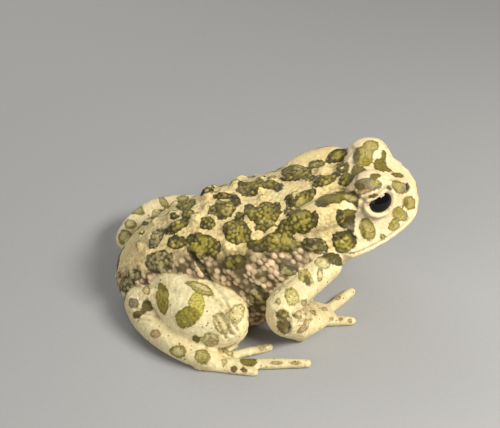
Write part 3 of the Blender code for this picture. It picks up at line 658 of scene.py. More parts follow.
def keep_largest(mesh):
    """Drops all but the largest closed surface of the mesh."""
    shells = bmesh.new()
    shells.from_mesh(mesh)
    left = set(shells.verts)
    largest = set()
    while left:
        border = [left.pop()]
        shell = set(border)
        while border:
            vertex = border.pop()
            for edge in vertex.link_edges:
                near = edge.other_vert(vertex)
                if near in left:
                    left.discard(near)
                    shell.add(near)
                    border.append(near)
        if len(shell) > len(largest):
            largest = shell
    if not largest:
        raise RuntimeError("The flesh gives no skin")
    bmesh.ops.delete(shells, geom=[vertex for vertex in shells.verts if vertex not in largest])
    shells.to_mesh(mesh)
    shells.free()


def name_regions(skin):
    """For each point of the skin, the number of its flesh in FLESH."""
    corners, faces, owners = [], [], []
    for number, nodes in enumerate(FLESH.values()):
        for node in nodes:
            copy = flesh_copy(node, 0)
            first = len(corners)
            corners += [Vector(np.array(vertex.co) / MM - ORIGIN) for vertex in copy.verts]
            faces += [[first + vertex.index for vertex in face.verts] for face in copy.faces]
            owners += [number] * len(copy.faces)
            copy.free()
    tree = BVHTree.FromPolygons(corners, faces)
    return np.array([owners[tree.find_nearest(point)[2]] for point in skin.points.tolist()])


def soften(skin, region):
    """Rounds off the warts, lids and pits of the solids and the lips' tip, and draws the chin back."""
    share = skin.spread(named(region, "trunk"), TRUNK_SOFT_BLEND)
    for side in (LEFT, RIGHT):
        facing, length, height = eye_axes(side)
        offset = skin.points - on_side(EYE_AT, side)
        away = np.hypot(offset @ length / SLIT_HALF_LENGTH, offset @ height / SLIT_HALF_HEIGHT)
        ring = LIDS_SOFTENED * smooth(*LIDS_SOFT_FROM, away) * smooth(*LIDS_SOFT_TO, away)
        share = np.maximum(share, ring * (offset @ facing > 0))
        share = np.maximum(share, smooth(*NOSTRIL_SOFT, skin.away_from(on_side(NOSTRIL_AT, side))))
    for _ in range(SOFTENING):
        skin.points += share[:, None] * (skin.spread(skin.points) - skin.points)
    lips = smooth(*LIP_SOFT, skin.away_from(LIP_TIP))[:, None]
    for _ in range(LIP_SOFTENING):
        skin.points += lips * (skin.spread(skin.points, LIP_SPREAD) - skin.points)
    skin.points[:, 0] -= CHIN_BACK * bell(skin.away_from(CHIN), 0, CHIN_REACH)
    skin.settle()


def drawn_skin(look):
    """One smooth skin over all the flesh, and for each of its points the number of its flesh."""
    mesh = with_modifier(join_flesh(look.overlap), "REMESH", mode="VOXEL", voxel_size=look.voxel)
    keep_largest(mesh)
    skin = Skin(mesh)
    skin.iron(look.rounds)
    skin.swell(-look.overlap / MM)
    region = name_regions(skin)
    soften(skin, region)
    return skin, region


def named(region, *names):
    """Which points belong to any of the named flesh."""
    return np.isin(region, [list(FLESH).index(name) for name in names])


def slope_round_trunk(skin):
    """The angle down from the spine of each point, in degrees, about the axis of trunk and head."""
    level = np.interp(skin.points[:, 0], AXIS_X, AXIS_Z)
    return np.degrees(np.arctan2(np.abs(skin.points[:, 1]), skin.points[:, 2] - level))


class Shares:
    """How much of each kind of skin every point has, from 0 to 1."""

    def __init__(self, skin, region):
        angle = slope_round_trunk(skin) + swells(skin.points, *BORDER_SWELLS)
        trunk = named(region, "trunk")
        digits = named(region, "hand_r", "hand_l", "foot_r", "foot_l")
        low = smooth(BELLY_FROM, BELLY_FULL, angle)
        side = smooth(FLANK_FROM, FLANK_FULL, angle) * (1 - low)
        side = side * smooth(FLANK_ENDS_X, FLANK_FULL_X, skin.points[:, 0])
        self.trunk = skin.spread(trunk, BODY_BLEND)
        self.head = skin.spread(named(region, "head"), BODY_BLEND)
        self.belly = skin.spread((self.trunk + self.head > MOSTLY) * low, BELLY_BLEND)
        self.flank = skin.spread(trunk * side, FLANK_BLEND)
        self.digits = skin.spread(digits, DIGITS_BLEND)
        gland = np.array(GLAND)
        off = np.minimum(line_distance(skin.points, gland), line_distance(skin.points, gland * FLIP))
        self.gland = smooth(GLAND_HALF_WIDTH + GLAND_EDGE, GLAND_HALF_WIDTH - GLAND_EDGE, off)
        self.back = np.clip(self.trunk - self.flank - self.belly - self.gland, 0, 1)
        self.limbs = np.clip(1 - self.trunk - self.head, 0, 1)


def found(hit, what):
    """The place that a ray or a search gives, which has to be there."""
    if hit[0] is None:
        raise RuntimeError(f"The skin has no place for {what}")
    return np.array(hit[0])


def dig(heights, off, half_width, depth):
    """Adds a groove to the heights, with a low swelling along both its sides."""
    heights -= depth * bell(off, 0, half_width)
    heights += BANK_HIGH * depth * bell(off, BANK_AWAY * half_width, half_width)


def darken(dark, amount):
    """Makes the painted shade at each point at least as dark as this."""
    dark[:] = np.maximum(dark, amount)


def picture_line(surface, dots):
    """A line of the picture as points on the skin."""
    line = []
    dots = np.array(dots, dtype=float)
    for start, end in zip(dots[:-1], dots[1:]):
        for step in range(CREASE_STEPS + 1):
            across, down = start + (end - start) * step / CREASE_STEPS
            hit = surface.ray_cast(camera_place(), ray(across, down))[0]
            if hit is not None:
                line.append(np.array(hit))
    return line


def shape_creases(skin, region, surface):
    """Grooves where the skin folds, and the painted shade in them."""
    heights = np.zeros(len(skin.points))
    dark = np.zeros(len(skin.points))
    drift = [noise(skin.points, CREASE_WANDER_SWELL, seed) for seed in CREASE_WANDER_SEEDS]
    places = skin.points + CREASE_WANDER * np.stack(drift, axis=1)
    depths = np.clip(CREASE_DEPTH + swells(skin.points, CREASE_DEPTH_SWELL), *CREASE_DEPTH_RANGE)
    for dots, half_width, depth in CREASES:
        line = picture_line(surface, dots)
        if len(line) < 2:
            continue
        lines = [(line, depths)]
        if list(FLESH)[region[skin.nearest(line[0])]] in MIRRORED:
            other = [found(surface.find_nearest(dot * FLIP), "a crease") for dot in line]
            lines.append((other, depths * MIRRORED_DEPTH))
        for each, strength in lines:
            off = line_distance(places, each)
            dig(heights, off, half_width, depth * strength)
            # Painted shade along the crease
            darken(dark, CREASE_DARK * strength * bell(off, 0, half_width))
    return heights, dark


def shape_face(skin, surface, dark):
    """Nostrils, eardrums and mouth on both sides, with painted shade in the nostrils' pits, round the
    eardrums' edges and along the mouth.
    """
    heights = np.zeros(len(skin.points))
    for side in (LEFT, RIGHT):
        nostril = found(surface.find_nearest(on_side(NOSTRIL_AT, side)), "a nostril")
        off = np.linalg.norm((skin.points - nostril) * NOSTRIL_SHAPE, axis=1)
        heights -= NOSTRIL_DEEP * smooth(*NOSTRIL_PIT, off)
        heights += NOSTRIL_RIM_HIGH * bell(off, NOSTRIL_RIM_AT, NOSTRIL_RIM_HALF_WIDTH)
        # Painted shade in the nostril's pit
        darken(dark, NOSTRIL_DARK * smooth(*NOSTRIL_DARK_PIT, off))
        off = skin.away_from(on_side(EARDRUM_AT, side))
        heights -= EARDRUM_DEEP * bell(off, EARDRUM_RADIUS, EARDRUM_HALF_WIDTH)
        # Painted shade in the groove round the eardrum
        darken(dark, EARDRUM_DARK * bell(off, EARDRUM_RADIUS, EARDRUM_DARK_HALF_WIDTH))
        lips = []
        for ahead, level in MOUTH:
            hit = surface.ray_cast((ahead, BESIDE_TOAD * side, level), (0, -side, 0))
            lips.append(found(hit, "the lips"))
        hit = surface.ray_cast((BESIDE_TOAD, 0.0, LIPS_MEET_Z), (-1, 0, 0))
        lips.append(found(hit, "the lips' tip"))
        off = line_distance(skin.points, lips)
        depth = between(MOUTH_DEPTHS, smooth(*MOUTH_DEEPENS, skin.away_from(LIP_TIP)))
        dig(heights, off, MOUTH_HALF_WIDTH, depth)
        # Painted shade along the mouth's groove
        darken(dark, MOUTH_DARK * bell(off, 0, MOUTH_DARK_HALF_WIDTH))
    return heights


def shape_lids(skin, dark):
    """Opens both slits down to below the eyeballs, with a raised rim and a fold round each, and paints shade
    in the fold and at the slit's edge.
    """
    for side in (LEFT, RIGHT):
        facing, length, height = eye_axes(side)
        offset = skin.points - on_side(EYE_AT, side)
        along, up = offset @ length, offset @ height
        ellipse = np.sqrt((along / SLIT_HALF_LENGTH) ** 2 + (up / SLIT_HALF_HEIGHT) ** 2)
        inside = np.minimum((1 - ellipse) * SLIT_HALF_HEIGHT, SLIT_TOP - up)
        near = (offset @ facing > 0) & (inside > -LID_REACH)
        away = np.linalg.norm(offset, axis=1)
        wanted = np.where(inside > -LID_HUGS_EYE, np.maximum(away, EYE_RADIUS + LID_OVER_EYE), away)
        upper = smooth(-LIDS_MEET, LIDS_MEET, up)
        for off, half_width, low, more in LID_WAVES:
            wanted += (low + more * upper) * bell(inside, -off, half_width)
        sunk = smooth(*LID_TURNS_IN, inside)
        wanted = wanted * (1 - sunk) + (EYE_RADIUS - EYE_SHOWS_BY) * sunk
        change = np.where(near, wanted - away, 0)
        skin.points = skin.points + offset / away[:, None] * change[:, None]
        # Painted shade in the lid's fold and at the slit's edge
        darken(dark, near * LID_FOLD_DARK * bell(inside, -LID_FOLD_AWAY, LID_FOLD_HALF_WIDTH))
        darken(dark, near * LID_EDGE_DARK * smooth(*LID_EDGE, inside))
    skin.settle()


class Paint:
    """The markings of the skin: how far inside a spot each point is, and the spot's colour."""

    def __init__(self, skin, region):
        self.skin = skin
        self.region = region
        count = len(skin.points)
        self.inside = np.full(count, FAR_OUTSIDE)
        self.colour = np.tile(TONES["olive"][0], (count, 1))
        self.hollow = np.zeros(count)
        self.lobes = swells(skin.points, *LOBES)

    def lay(self, centre, normal, along, across, tone):
        """Lays one spot on the skin, an ellipse with these half axes as seen down its normal."""
        skin = self.skin
        owner = list(FLESH)[self.region[skin.nearest(centre)]]
        family = next(names for names in FAMILIES if owner in names)
        offset = skin.points - centre
        size = math.sqrt(np.linalg.norm(np.cross(along, across)))
        rise = offset @ normal
        flat = offset - rise[:, None] * normal
        skew = np.array(((along @ along, along @ across), (along @ across, across @ across)))
        share = np.linalg.solve(skew, np.stack((flat @ along, flat @ across)))
        reach = (1 - np.linalg.norm(share, axis=0) * (1 + self.lobes)) * size
        allowed = np.abs(rise) < size * SPOT_REACH + SPOT_REACH_MORE
        allowed &= (skin.normals @ normal > SPOT_FACES_FROM) & named(self.region, *family)
        reach = np.where(allowed, reach, FAR_OUTSIDE)
        if tone == "clear":
            self.inside = np.minimum(self.inside, -reach)
            return
        colour, hollow = TONES[tone]
        taken = (reach > self.inside) | (reach > 0)
        self.colour[taken] = colour
        self.hollow[taken] = hollow
        self.inside = np.maximum(self.inside, reach)

    def from_picture(self, surface, spot):
        """Lays a spot that the picture shows."""
        across, down, half_length, half_width, turn, tone = spot
        eye, way = camera_place(), ray(across, down)
        hit, normal, _, _ = surface.ray_cast(eye, way)
        if hit is None:
            return
        hit, normal = np.array(hit), np.array(normal)
        normal = unit(normal - way * max(0.0, LEAST_FACING + way @ normal))

        def on_plane(level, drop):
            near = ray(across + level, down + drop)
            return eye + near * ((hit - eye) @ normal / (near @ normal)) - hit

        cos, sin = math.cos(math.radians(turn)), math.sin(math.radians(turn))
        level, drop = on_plane(1, 0), on_plane(0, 1)
        length = half_length * (level * cos + drop * sin)
        width = half_width * (drop * cos - level * sin)
        self.lay(hit, normal, length, width, tone)

    def by_lot(self, allowed, apart, sizes, tones, seed):
        """Lays spots of these sizes and tones over the allowed skin."""
        chance = np.random.default_rng(seed)
        numbers = np.flatnonzero(allowed)
        for picked in strewn(self.skin.points[numbers], apart, seed):
            place, normal = self.skin.points[numbers[picked]], self.skin.normals[numbers[picked]]
            along = np.cross(normal, unit(chance.normal(size=3)))
            along = unit(along) * chance.uniform(*sizes)
            across = np.cross(normal, along) * chance.uniform(LOT_SLIMMEST, 1.0)
            self.lay(place, normal, along, across, tones[chance.integers(len(tones))])


def in_picture(skin, surface):
    """1 for each point of the skin that the camera sees, else 0, a little evened out."""
    ways = camera_place() - skin.points
    ways /= np.linalg.norm(ways, axis=1)[:, None]
    seen = (ways * skin.normals).sum(axis=1) > SEEN_FROM
    for number in np.flatnonzero(seen):
        start = skin.points[number] + skin.normals[number] * SEEN_FROM_ABOVE
        seen[number] = surface.ray_cast(start, ways[number])[0] is None
    return skin.spread(seen, SEEN_BLEND)


def paint_spots(skin, region, surface, shares):
    """All the markings, first those drawn by lot and then the picture's over them."""
    paint = Paint(skin, region)
    seen = in_picture(skin, surface)
    plain = (shares.flank < LOT_MOST_FLANK) & (shares.belly < LOT_MOST_BELLY)
    plain &= (skin.points[:, 2] > LOT_LOWEST_Z) & (skin.normals[:, 2] > 0)
    for number, (names, apart, sizes, tones) in enumerate(LOT_SPOTS):
        allowed = named(region, *names) & plain & (seen < MOSTLY)
        paint.by_lot(allowed, apart, sizes, tones, LOT_SEED + number)
    paint.inside = np.where(seen > MOSTLY, np.minimum(paint.inside, LOT_IN_PICTURE), paint.inside)
    for spot in SPOTS:
        paint.from_picture(surface, spot)
    paint.colour = skin.spread(paint.colour, 1)
    return paint


def shape_bumps(skin, shares, inside):
    """Granules, tubercles, folds and pores: the heights in millimetres, how near a top, and a lot."""
    points = skin.points
    spotted = smooth(*SPOTTED, inside)
    fine, kind = domes(points, GRANULES_APART, GRANULES_SEED)
    high = shares.back * between(BACK_GRANULES, spotted)
    high += shares.limbs * between(LIMB_GRANULES, spotted) * (1 - DIGITS_LOWER * shares.digits)
    high += shares.head * (1 - shares.gland) * between(HEAD_GRANULES, spotted)
    high += shares.belly * BELLY_GRANULES
    wrinkles = smooth(WRINKLES_FROM, 1.0, 1 - np.abs(noise(points, WRINKLES_SWELL, WRINKLES_SEED)))
    heights = fine * high - WRINKLES_DEEP * np.clip(1 - shares.trunk, 0, 1) * wrinkles
    run = unit(TUBERCLES_RUN)
    squeezed = points - np.outer(points @ run * (1 - 1 / TUBERCLES_STRETCH), run)
    coarse, _ = domes(squeezed, TUBERCLES_APART, TUBERCLES_SEED, TUBERCLES_FILL)
    over = points[:, 2] * run[0] - points[:, 0] * run[2] + swells(points, FOLDS_SWELL)
    folds = np.sin(2 * math.pi * over / FOLDS_APART)
    heights += shares.flank * (TUBERCLES_HIGH * coarse + FOLDS_HIGH * folds)
    heights += shares.back * SPOTS_HIGH * smooth(0, SPOTS_FULL_AT, inside)
    pores = tree_of(points[strewn(points, PORES_APART, PORES_SEED)])
    for number in np.flatnonzero(shares.gland > PORES_FROM):
        off = pores.find(points[number])[2]
        heights[number] -= PORES_DEEP * shares.gland[number] * bell(off, 0, PORES_HALF_WIDTH)
    grainy = np.clip(shares.trunk + shares.head * HEAD_GRAINY - shares.gland, 0, 1)
    tops = LEVEL_TIP * (1 - grainy) + fine * grainy
    tops = tops * (1 - shares.flank) + coarse * shares.flank
    return heights, tops, kind


def ground_colours(shares, points):
    """The colour of the skin between its spots."""
    colours = np.tile(GROUNDS["limb"], (len(points), 1))
    for share, name in (
        (shares.digits, "digit"), (shares.trunk, "back"), (shares.head, "head"),
        (shares.flank, "flank"), (shares.belly, "belly"),
    ):
        colours += share[:, None] * (np.array(GROUNDS[name]) - colours)
    return colours


def write_values(mesh, name, values):
    """Keeps one number for each point of the mesh."""
    layer = mesh.attributes.new(name, "FLOAT", "POINT")
    layer.data.foreach_set("value", np.ascontiguousarray(values, dtype=np.float32))


def write_colours(mesh, name, colours):
    """Keeps one colour for each point of the mesh."""
    layer = mesh.attributes.new(name, "FLOAT_COLOR", "POINT")
    with_alpha = np.hstack((colours, np.ones((len(colours), 1))))
    layer.data.foreach_set("color", with_alpha.astype(np.float32).ravel())


def thinned(skin, most, values, colours):
    """The skin's mesh with fewer triangles, and the values and colours of the nearest old points."""
    triangles = sum(len(face.vertices) - 2 for face in skin.mesh.polygons)
    thin = with_modifier(skin.mesh, "DECIMATE", ratio=min(1.0, most / triangles))
    nearest = tree_of(skin.points)
    source = [nearest.find(point)[1] for point in Skin(thin).points]
    for name, each in values.items():
        write_values(thin, name, each[source])
    for name, each in colours.items():
        write_colours(thin, name, each[source])
    thin.name = "skin"
    return thin


def new_piece(name, mesh, material, *nodes):
    """An object of the toad that stands for some of the solids."""
    piece = bpy.data.objects.new(name, mesh)
    bpy.context.scene.collection.objects.link(piece)
    mesh.materials.clear()
    mesh.materials.append(material)
    mesh.shade_smooth()
    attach(piece, "root")
    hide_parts(*nodes)
    return piece


class Tree:
    """Adds nodes to one node tree, in a row, and links them."""

    def __init__(self, tree):
        self.tree = tree
        self.count = 0

    def add(self, kind, settings=None, **inputs):
        """A new node with some settings and inputs."""
        node = self.tree.nodes.new(kind)
        node.location = (self.count * 180, (self.count % 5) * -160)
        self.count += 1
        for name, value in (settings or {}).items():
            setattr(node, name, value)
        self.fill(node, **inputs)
        return node

    def fill(self, node, **inputs):
        """Feeds inputs of a node by their names, with _ for each space."""
        for name, value in inputs.items():
            self.feed(node.inputs[name.replace("_", " ")], value)

    def feed(self, socket, value):
        """Links the input if the value is a socket, and else sets it. A colour gets full alpha."""
        if isinstance(value, bpy.types.NodeSocket):
            self.tree.links.new(value, socket)
        elif socket.type == "RGBA":
            socket.default_value = (*value[:3], 1.0)
        else:
            socket.default_value = value

    def math(self, operation, *values):
        """A sum, product or other arithmetic of up to three values."""
        node = self.add("ShaderNodeMath", {"operation": operation})
        for socket, value in zip(node.inputs, values):
            self.feed(socket, value)
        return node.outputs[0]

    def times(self, product, *values):
        """The product of some values."""
        for value in values:
            product = self.math("MULTIPLY", product, value)
        return product

    def ramp(self, value, low, high, least=0.0, most=1.0):
        """A smooth step of the value from least below low to most above high."""
        node = self.add("ShaderNodeMapRange", {"interpolation_type": "SMOOTHSTEP"}, Value=value)
        self.fill(node, From_Min=low, From_Max=high, To_Min=least, To_Max=most)
        return node.outputs["Result"]

    def blend(self, share, one, two, kind="MIX"):
        """Two colours mixed."""
        node = self.add("ShaderNodeMix", {"data_type": "RGBA", "blend_type": kind})
        for number, value in ((0, share), (6, one), (7, two)):
            self.feed(node.inputs[number], value)
        return node.outputs[2]

    def coats(self, colour, *coats):
        """A colour with coats of other colours over it, each given by its share and its colour."""
        for share, coat in coats:
            colour = self.blend(share, colour, coat)
        return colour

    def shaded(self, colour, shade):
        """A colour made darker or lighter."""
        grey = self.add("ShaderNodeCombineColor", Red=shade, Green=shade, Blue=shade)
        return self.blend(1.0, colour, grey.outputs[0], "MULTIPLY")

    def kept(self, name, output="Fac"):
        """A value or colour that the mesh keeps for each point."""
        return self.add("ShaderNodeAttribute", {"attribute_name": name}).outputs[output]

    def noise(self, at, scale, detail=2.0):
        """Noise at a place, with so many swells to the millimetre."""
        return self.add("ShaderNodeTexNoise", Vector=at, Scale=scale, Detail=detail).outputs["Fac"]

    def cells(self, at, scale, feature="F1"):
        """Cells round scattered points, with so many to the millimetre."""
        return self.add("ShaderNodeTexVoronoi", {"feature": feature}, Vector=at, Scale=scale)

    def dots(self, at, scale, reach, chance):
        """Dots that fade out over this reach, each stronger or weaker by lot over this chance."""
        seeds = self.cells(at, scale)
        lot = self.add("ShaderNodeSeparateColor", Color=seeds.outputs["Color"]).outputs[0]
        return self.times(self.ramp(seeds.outputs["Distance"], *reach), self.ramp(lot, *chance))

    def shared(self):
        """The place in millimetres and the mottling there, from the group that the materials share."""
        node = self.add("ShaderNodeGroup")
        node.node_tree = bpy.data.node_groups.get("Millimetres") or millimetres_group()
        return node.outputs["Place"], node.outputs["Mottling"]


def new_material(name):
    """A material with its Principled node, ready for the rest."""
    material = bpy.data.materials.new(name)
    material.use_nodes = True
    return material, Tree(material.node_tree), material.node_tree.nodes["Principled BSDF"]


def millimetres_group():
    """The place on the object in millimetres, and a fine mottling there from 0 to 1."""
    group = bpy.data.node_groups.new("Millimetres", "ShaderNodeTree")
    group.interface.new_socket("Place", in_out="OUTPUT", socket_type="NodeSocketVector")
    group.interface.new_socket("Mottling", in_out="OUTPUT", socket_type="NodeSocketFloat")
    tree = Tree(group)
    place = tree.add("ShaderNodeTexCoord").outputs["Object"]
    scaled = tree.add("ShaderNodeVectorMath", {"operation": "SCALE"}, Vector=place, Scale=1 / MM)
    at = scaled.outputs[0]
    tree.add("NodeGroupOutput", Place=at, Mottling=tree.noise(at, 0.9, 4.0))
    return group


def skin_ground(tree, look):
    """The colour between the spots: freckles, a flush, painted shade in the valleys, and the flank's pale
    tubercles.
    """
    at, mottling = tree.shared()
    tip, flank = tree.kept("tip"), tree.kept("flank")
    ground = tree.shaded(tree.kept("ground", "Color"), tree.ramp(mottling, 0.3, 0.75, 0.86, 1.06))
    # Painted shade in the valleys between the granules, where the skin lies lowest
    valley_shade = tree.times(tree.kept("warty"), tree.ramp(tip, 0.4, 0.05), 0.5)
    freckles = tree.ramp(tree.noise(at, 1.7, 5.0), 0.56, 0.7, 0.0, 0.3)
    flush = tree.ramp(tree.noise(at, 0.28, 3.0), 0.45, 0.7, 0.0, 0.3)
    tubercles = tree.times(flank, tree.ramp(tip, 0.25, 0.8))
    # Painted shade between the flank's tubercles, where the skin lies lowest
    flank_valley_shade = tree.times(flank, tree.ramp(tip, 0.3, 0.02, 0.0, 0.75))
    return tree.coats(
        ground,
        (valley_shade, look.freckle_and_valley_shade_colour),
        (freckles, look.freckle_and_valley_shade_colour),
        (flush, FLUSH_COLOUR),
        (tubercles, look.tubercle_colour),
        (flank_valley_shade, FLANK_VALLEY_SHADE_COLOUR),
    )


def skin_paint(tree, look, edge, bare):
    """The colour in the spots, with flecks, dots, a dark rim, painted shade in the valleys and pale tips that
    are partly painted highlight.
    """
    at, _ = tree.shared()
    tip, warty = tree.kept("tip"), tree.kept("warty")
    flecks = tree.noise(at, 2.0, 4.0)
    pale_flecks = tree.ramp(flecks, 0.5, 0.72, 0.0, 0.8)
    dark_flecks = tree.ramp(flecks, 0.48, 0.28, 0.0, 0.6)
    heart = tree.times(tree.ramp(edge, 0.5, 2.2), tree.ramp(warty, 0.2, 0.6, 0.0, 0.28))
    dots = tree.dots(at, 1.5, reach=(0.34, 0.14), chance=(0.35, 0.7))
    dots = tree.times(dots, tree.ramp(bare, 0.0, 1.0, 0.0, 0.75))
    rim = tree.times(tree.ramp(edge, -0.2, 0.06), tree.ramp(edge, 0.12, 0.6, 1.0, 0.0))
    rim = tree.times(rim, tree.ramp(bare, 0.0, 1.0, 1.0, 0.6), 0.7)
    # Painted shade in the valleys between the granules in the spots
    valley_shade = tree.times(warty, tree.ramp(tip, 0.42, 0.08), 0.78)
    by_lot = tree.ramp(tree.kept("kind"), 0.3, 0.9, 0.1, 0.56)
    # Pale tops of the granules in the spots: partly their own yellow, partly painted highlight
    tips_and_highlights = tree.times(warty, tree.ramp(tip, 0.4, 0.85), by_lot)
    return tree.coats(
        tree.blend(pale_flecks, tree.kept("paint", "Color"), FLECK_TINT, "MULTIPLY"),
        (dark_flecks, look.rim_and_valley_shade_colour),
        (heart, SPOT_HEART_COLOUR),
        (dots, look.rim_and_valley_shade_colour),
        (rim, look.rim_and_valley_shade_colour),
        (valley_shade, look.rim_and_valley_shade_colour),
        (tips_and_highlights, look.tip_and_highlight_colour),
    )


def skin_material(look):
    """The skin: its ground, spots with wandering edges, specks, painted shade in its folds and a fine grain.
    """
    material, tree, surface = new_material("toad skin")
    at, _ = tree.shared()
    wander = look.edge_wander / MM
    wobble = tree.math("MULTIPLY_ADD", tree.noise(at, 1.5, 3.0), wander, -0.5 * wander)
    edge = tree.math("ADD", tree.kept("inside"), wobble)
    bare = tree.ramp(tree.kept("warty"), 0.6, 0.2)
    edge_from = tree.ramp(bare, 0.0, 1.0, -0.2, -0.34)
    edge_to = tree.ramp(bare, 0.0, 1.0, 0.02, 0.12)
    ground = skin_ground(tree, look)
    hollow = tree.times(tree.ramp(edge, 0.35, 1.0), tree.kept("hollow"))
    specks = tree.dots(at, 0.8, reach=(0.26, 0.1), chance=(0.25, 0.8))
    colour = tree.coats(
        ground,
        (tree.ramp(edge, edge_from, edge_to), tree.blend(hollow, skin_paint(tree, look, edge, bare), ground)),
        (tree.times(specks, tree.kept("specks")), look.speck_colour),
        # Painted shade in creases, nostrils, round the eardrums, along the mouth and in the lids
        (tree.times(tree.kept("fold"), 0.6), FOLD_SHADE_COLOUR),
    )
    pits = tree.times(tree.noise(at, 7.0, 3.0), 0.35)
    grain = tree.cells(at, 3.1, "SMOOTH_F1").outputs["Distance"]
    relief = tree.math("MULTIPLY_ADD", grain, -0.8, pits)
    bump = tree.add("ShaderNodeBump", Strength=look.grain_strength, Distance=0.11 * MM, Height=relief)
    dullness = tree.noise(at, 2.2)
    tree.fill(
        surface,
        Base_Color=colour,
        Roughness=tree.ramp(dullness, 0.3, 0.7, look.roughness - 0.08, look.roughness + 0.1),
        Normal=bump.outputs[0],
        Specular_IOR_Level=0.3,
        Subsurface_Weight=0.12,
        Subsurface_Radius=(1.0, 0.5, 0.25),
        Subsurface_Scale=0.7 * MM,
        Coat_Weight=0.1,
        Coat_Roughness=0.3,
    )
    return material


def eye_material(look):
    """The eyeball: a level black pupil, a thin gold iris with dark veins, and a wet coat."""
    material, tree, surface = new_material("toad eye")
    at, mottling = tree.shared()
    place = tree.add("ShaderNodeSeparateXYZ", Vector=tree.kept("place", "Vector"))
    along = tree.math("DIVIDE", place.outputs[0], look.pupil_half_length / MM)
    up = tree.math("DIVIDE", place.outputs[1], look.pupil_half_height / MM)
    reach = tree.math("SQRT", tree.math("ADD", tree.math("POWER", along, 2.0), tree.math("POWER", up, 2.0)))
    reach = tree.math("ADD", reach, tree.math("MULTIPLY_ADD", tree.noise(at, 2.0), 0.08, -0.04))
    veins = tree.cells(at, 2.6, "DISTANCE_TO_EDGE").outputs["Distance"]
    gold = tree.blend(tree.ramp(veins, 0.02, 0.16), IRIS_VEIN_COLOUR, look.iris_colour)
    clouds = tree.ramp(mottling, 0.35, 0.7, 0.0, 0.6)
    rim = tree.times(tree.ramp(reach, 1.0, 1.03), tree.ramp(reach, 1.12, 1.06))
    gold = tree.coats(gold, (clouds, IRIS_CLOUD_COLOUR), (rim, IRIS_RIM_COLOUR))
    bump = tree.add("ShaderNodeBump", Strength=0.25, Distance=0.05 * MM, Height=veins)
    tree.fill(
        surface,
        Base_Color=tree.blend(tree.ramp(reach, 0.97, 1.02), PUPIL_COLOUR, gold),
        Roughness=tree.ramp(reach, 0.97, 1.05, 0.12, 0.34),
        Normal=bump.outputs[0],
        Specular_IOR_Level=0.0,
        Coat_Weight=0.65,
        Coat_Roughness=0.03,
    )
    return material


def eyeball_mesh(side, look):
    """One eyeball with a low cornea, with each point's place along, up and out kept on it."""
    facing, length, height = eye_axes(side)
    ball = bmesh.new()
    bmesh.ops.create_uvsphere(ball, u_segments=64, v_segments=40, radius=1.0)
    places = np.array([tuple(vertex.co) for vertex in ball.verts])
    radius = EYE_RADIUS + look.cornea_rise / MM * smooth(0.55, 1.0, places[:, 2])
    places = places * radius[:, None]
    axes = np.stack((length, height, facing))
    spots = (places @ axes + on_side(EYE_AT, side) + ORIGIN) * MM
    for vertex, spot in zip(ball.verts, spots):
        vertex.co = spot
    bmesh.ops.recalc_face_normals(ball, faces=ball.faces)
    mesh = bpy.data.meshes.new("eyeball")
    ball.to_mesh(mesh)
    ball.free()
    layer = mesh.attributes.new("place", "FLOAT_VECTOR", "POINT")
    layer.data.foreach_set("vector", places.astype(np.float32).ravel())
    return mesh


def floor_material(colour):
    """The plain floor, with a faint grain."""
    material, tree, surface = new_material("floor")
    _, mottling = tree.shared()
    shade = tree.ramp(mottling, 0.2, 0.8, 0.97, 1.0)
    tree.fill(surface, Base_Color=tree.shaded(colour, shade), Roughness=0.75)
    return material


def soft_light(name, place, size, power, colour):
    """A flat light of this length and width, placed in the toad's millimetres and turned to the toad."""
    lamp = bpy.data.lights.new(name, "AREA")
    lamp.shape = "RECTANGLE"
    lamp.size, lamp.size_y = (each * MM for each in size)
    lamp.energy = power
    lamp.color = colour
    light = bpy.data.objects.new(name, lamp)
    bpy.context.scene.collection.objects.link(light)
    light.location = (np.array(place) + ORIGIN) * MM
    way = Vector(LIGHTS_AIM_AT - np.array(place))
    light.rotation_euler = way.to_track_quat("-Z", "Y").to_euler()


def pale_room(look):
    """The light from all round."""
    world = bpy.data.worlds.new("pale room")
    world.use_nodes = True
    background = world.node_tree.nodes["Background"]
    Tree(world.node_tree).fill(background, Color=look.sky_colour, Strength=look.sky_strength)
    return world


def picture_camera():
    """A camera that sees the toad as the picture does."""
    lens = bpy.data.cameras.new("camera")
    lens.sensor_fit = "HORIZONTAL"
    lens.sensor_width = SENSOR_MM
    lens.lens = FOCAL_PIXELS / PICTURE[0] * SENSOR_MM
    lens.clip_start = MM
    camera = bpy.data.objects.new("camera", lens)
    bpy.context.scene.collection.objects.link(camera)
    camera.location = (camera_place() + ORIGIN) * MM
    camera.rotation_euler = (math.pi / 2 - CAMERA_RISE, 0.0, 0.0)
    return camera


def millimetres(name, description, default, least=0.0):
    """A setting that is a length, given in millimetres."""
    return FloatProperty(
        name=name, description=description, default=default * MM, min=least * MM, unit="LENGTH", precision=5,
    )


def factor(name, description, default, least=0.0, most=1.0):
    """A setting between two bounds."""
    return FloatProperty(
        name=name, description=description, default=default, min=least, max=most, subtype="FACTOR",
    )


def whole_number(name, description, default, least=0):
    """A setting that is a whole number."""
    return IntProperty(name=name, description=description, default=default, min=least)


def tint(name, description, default):
    """A setting that is a colour."""
    return FloatVectorProperty(
        name=name, description=description, default=default, size=3, min=0.0, max=1.0, subtype="COLOR",
    )


def brightness(name, description, default, unit="NONE"):
    """A setting that is the strength or power of a light."""
    return FloatProperty(name=name, description=description, default=default, min=0.0, unit=unit)


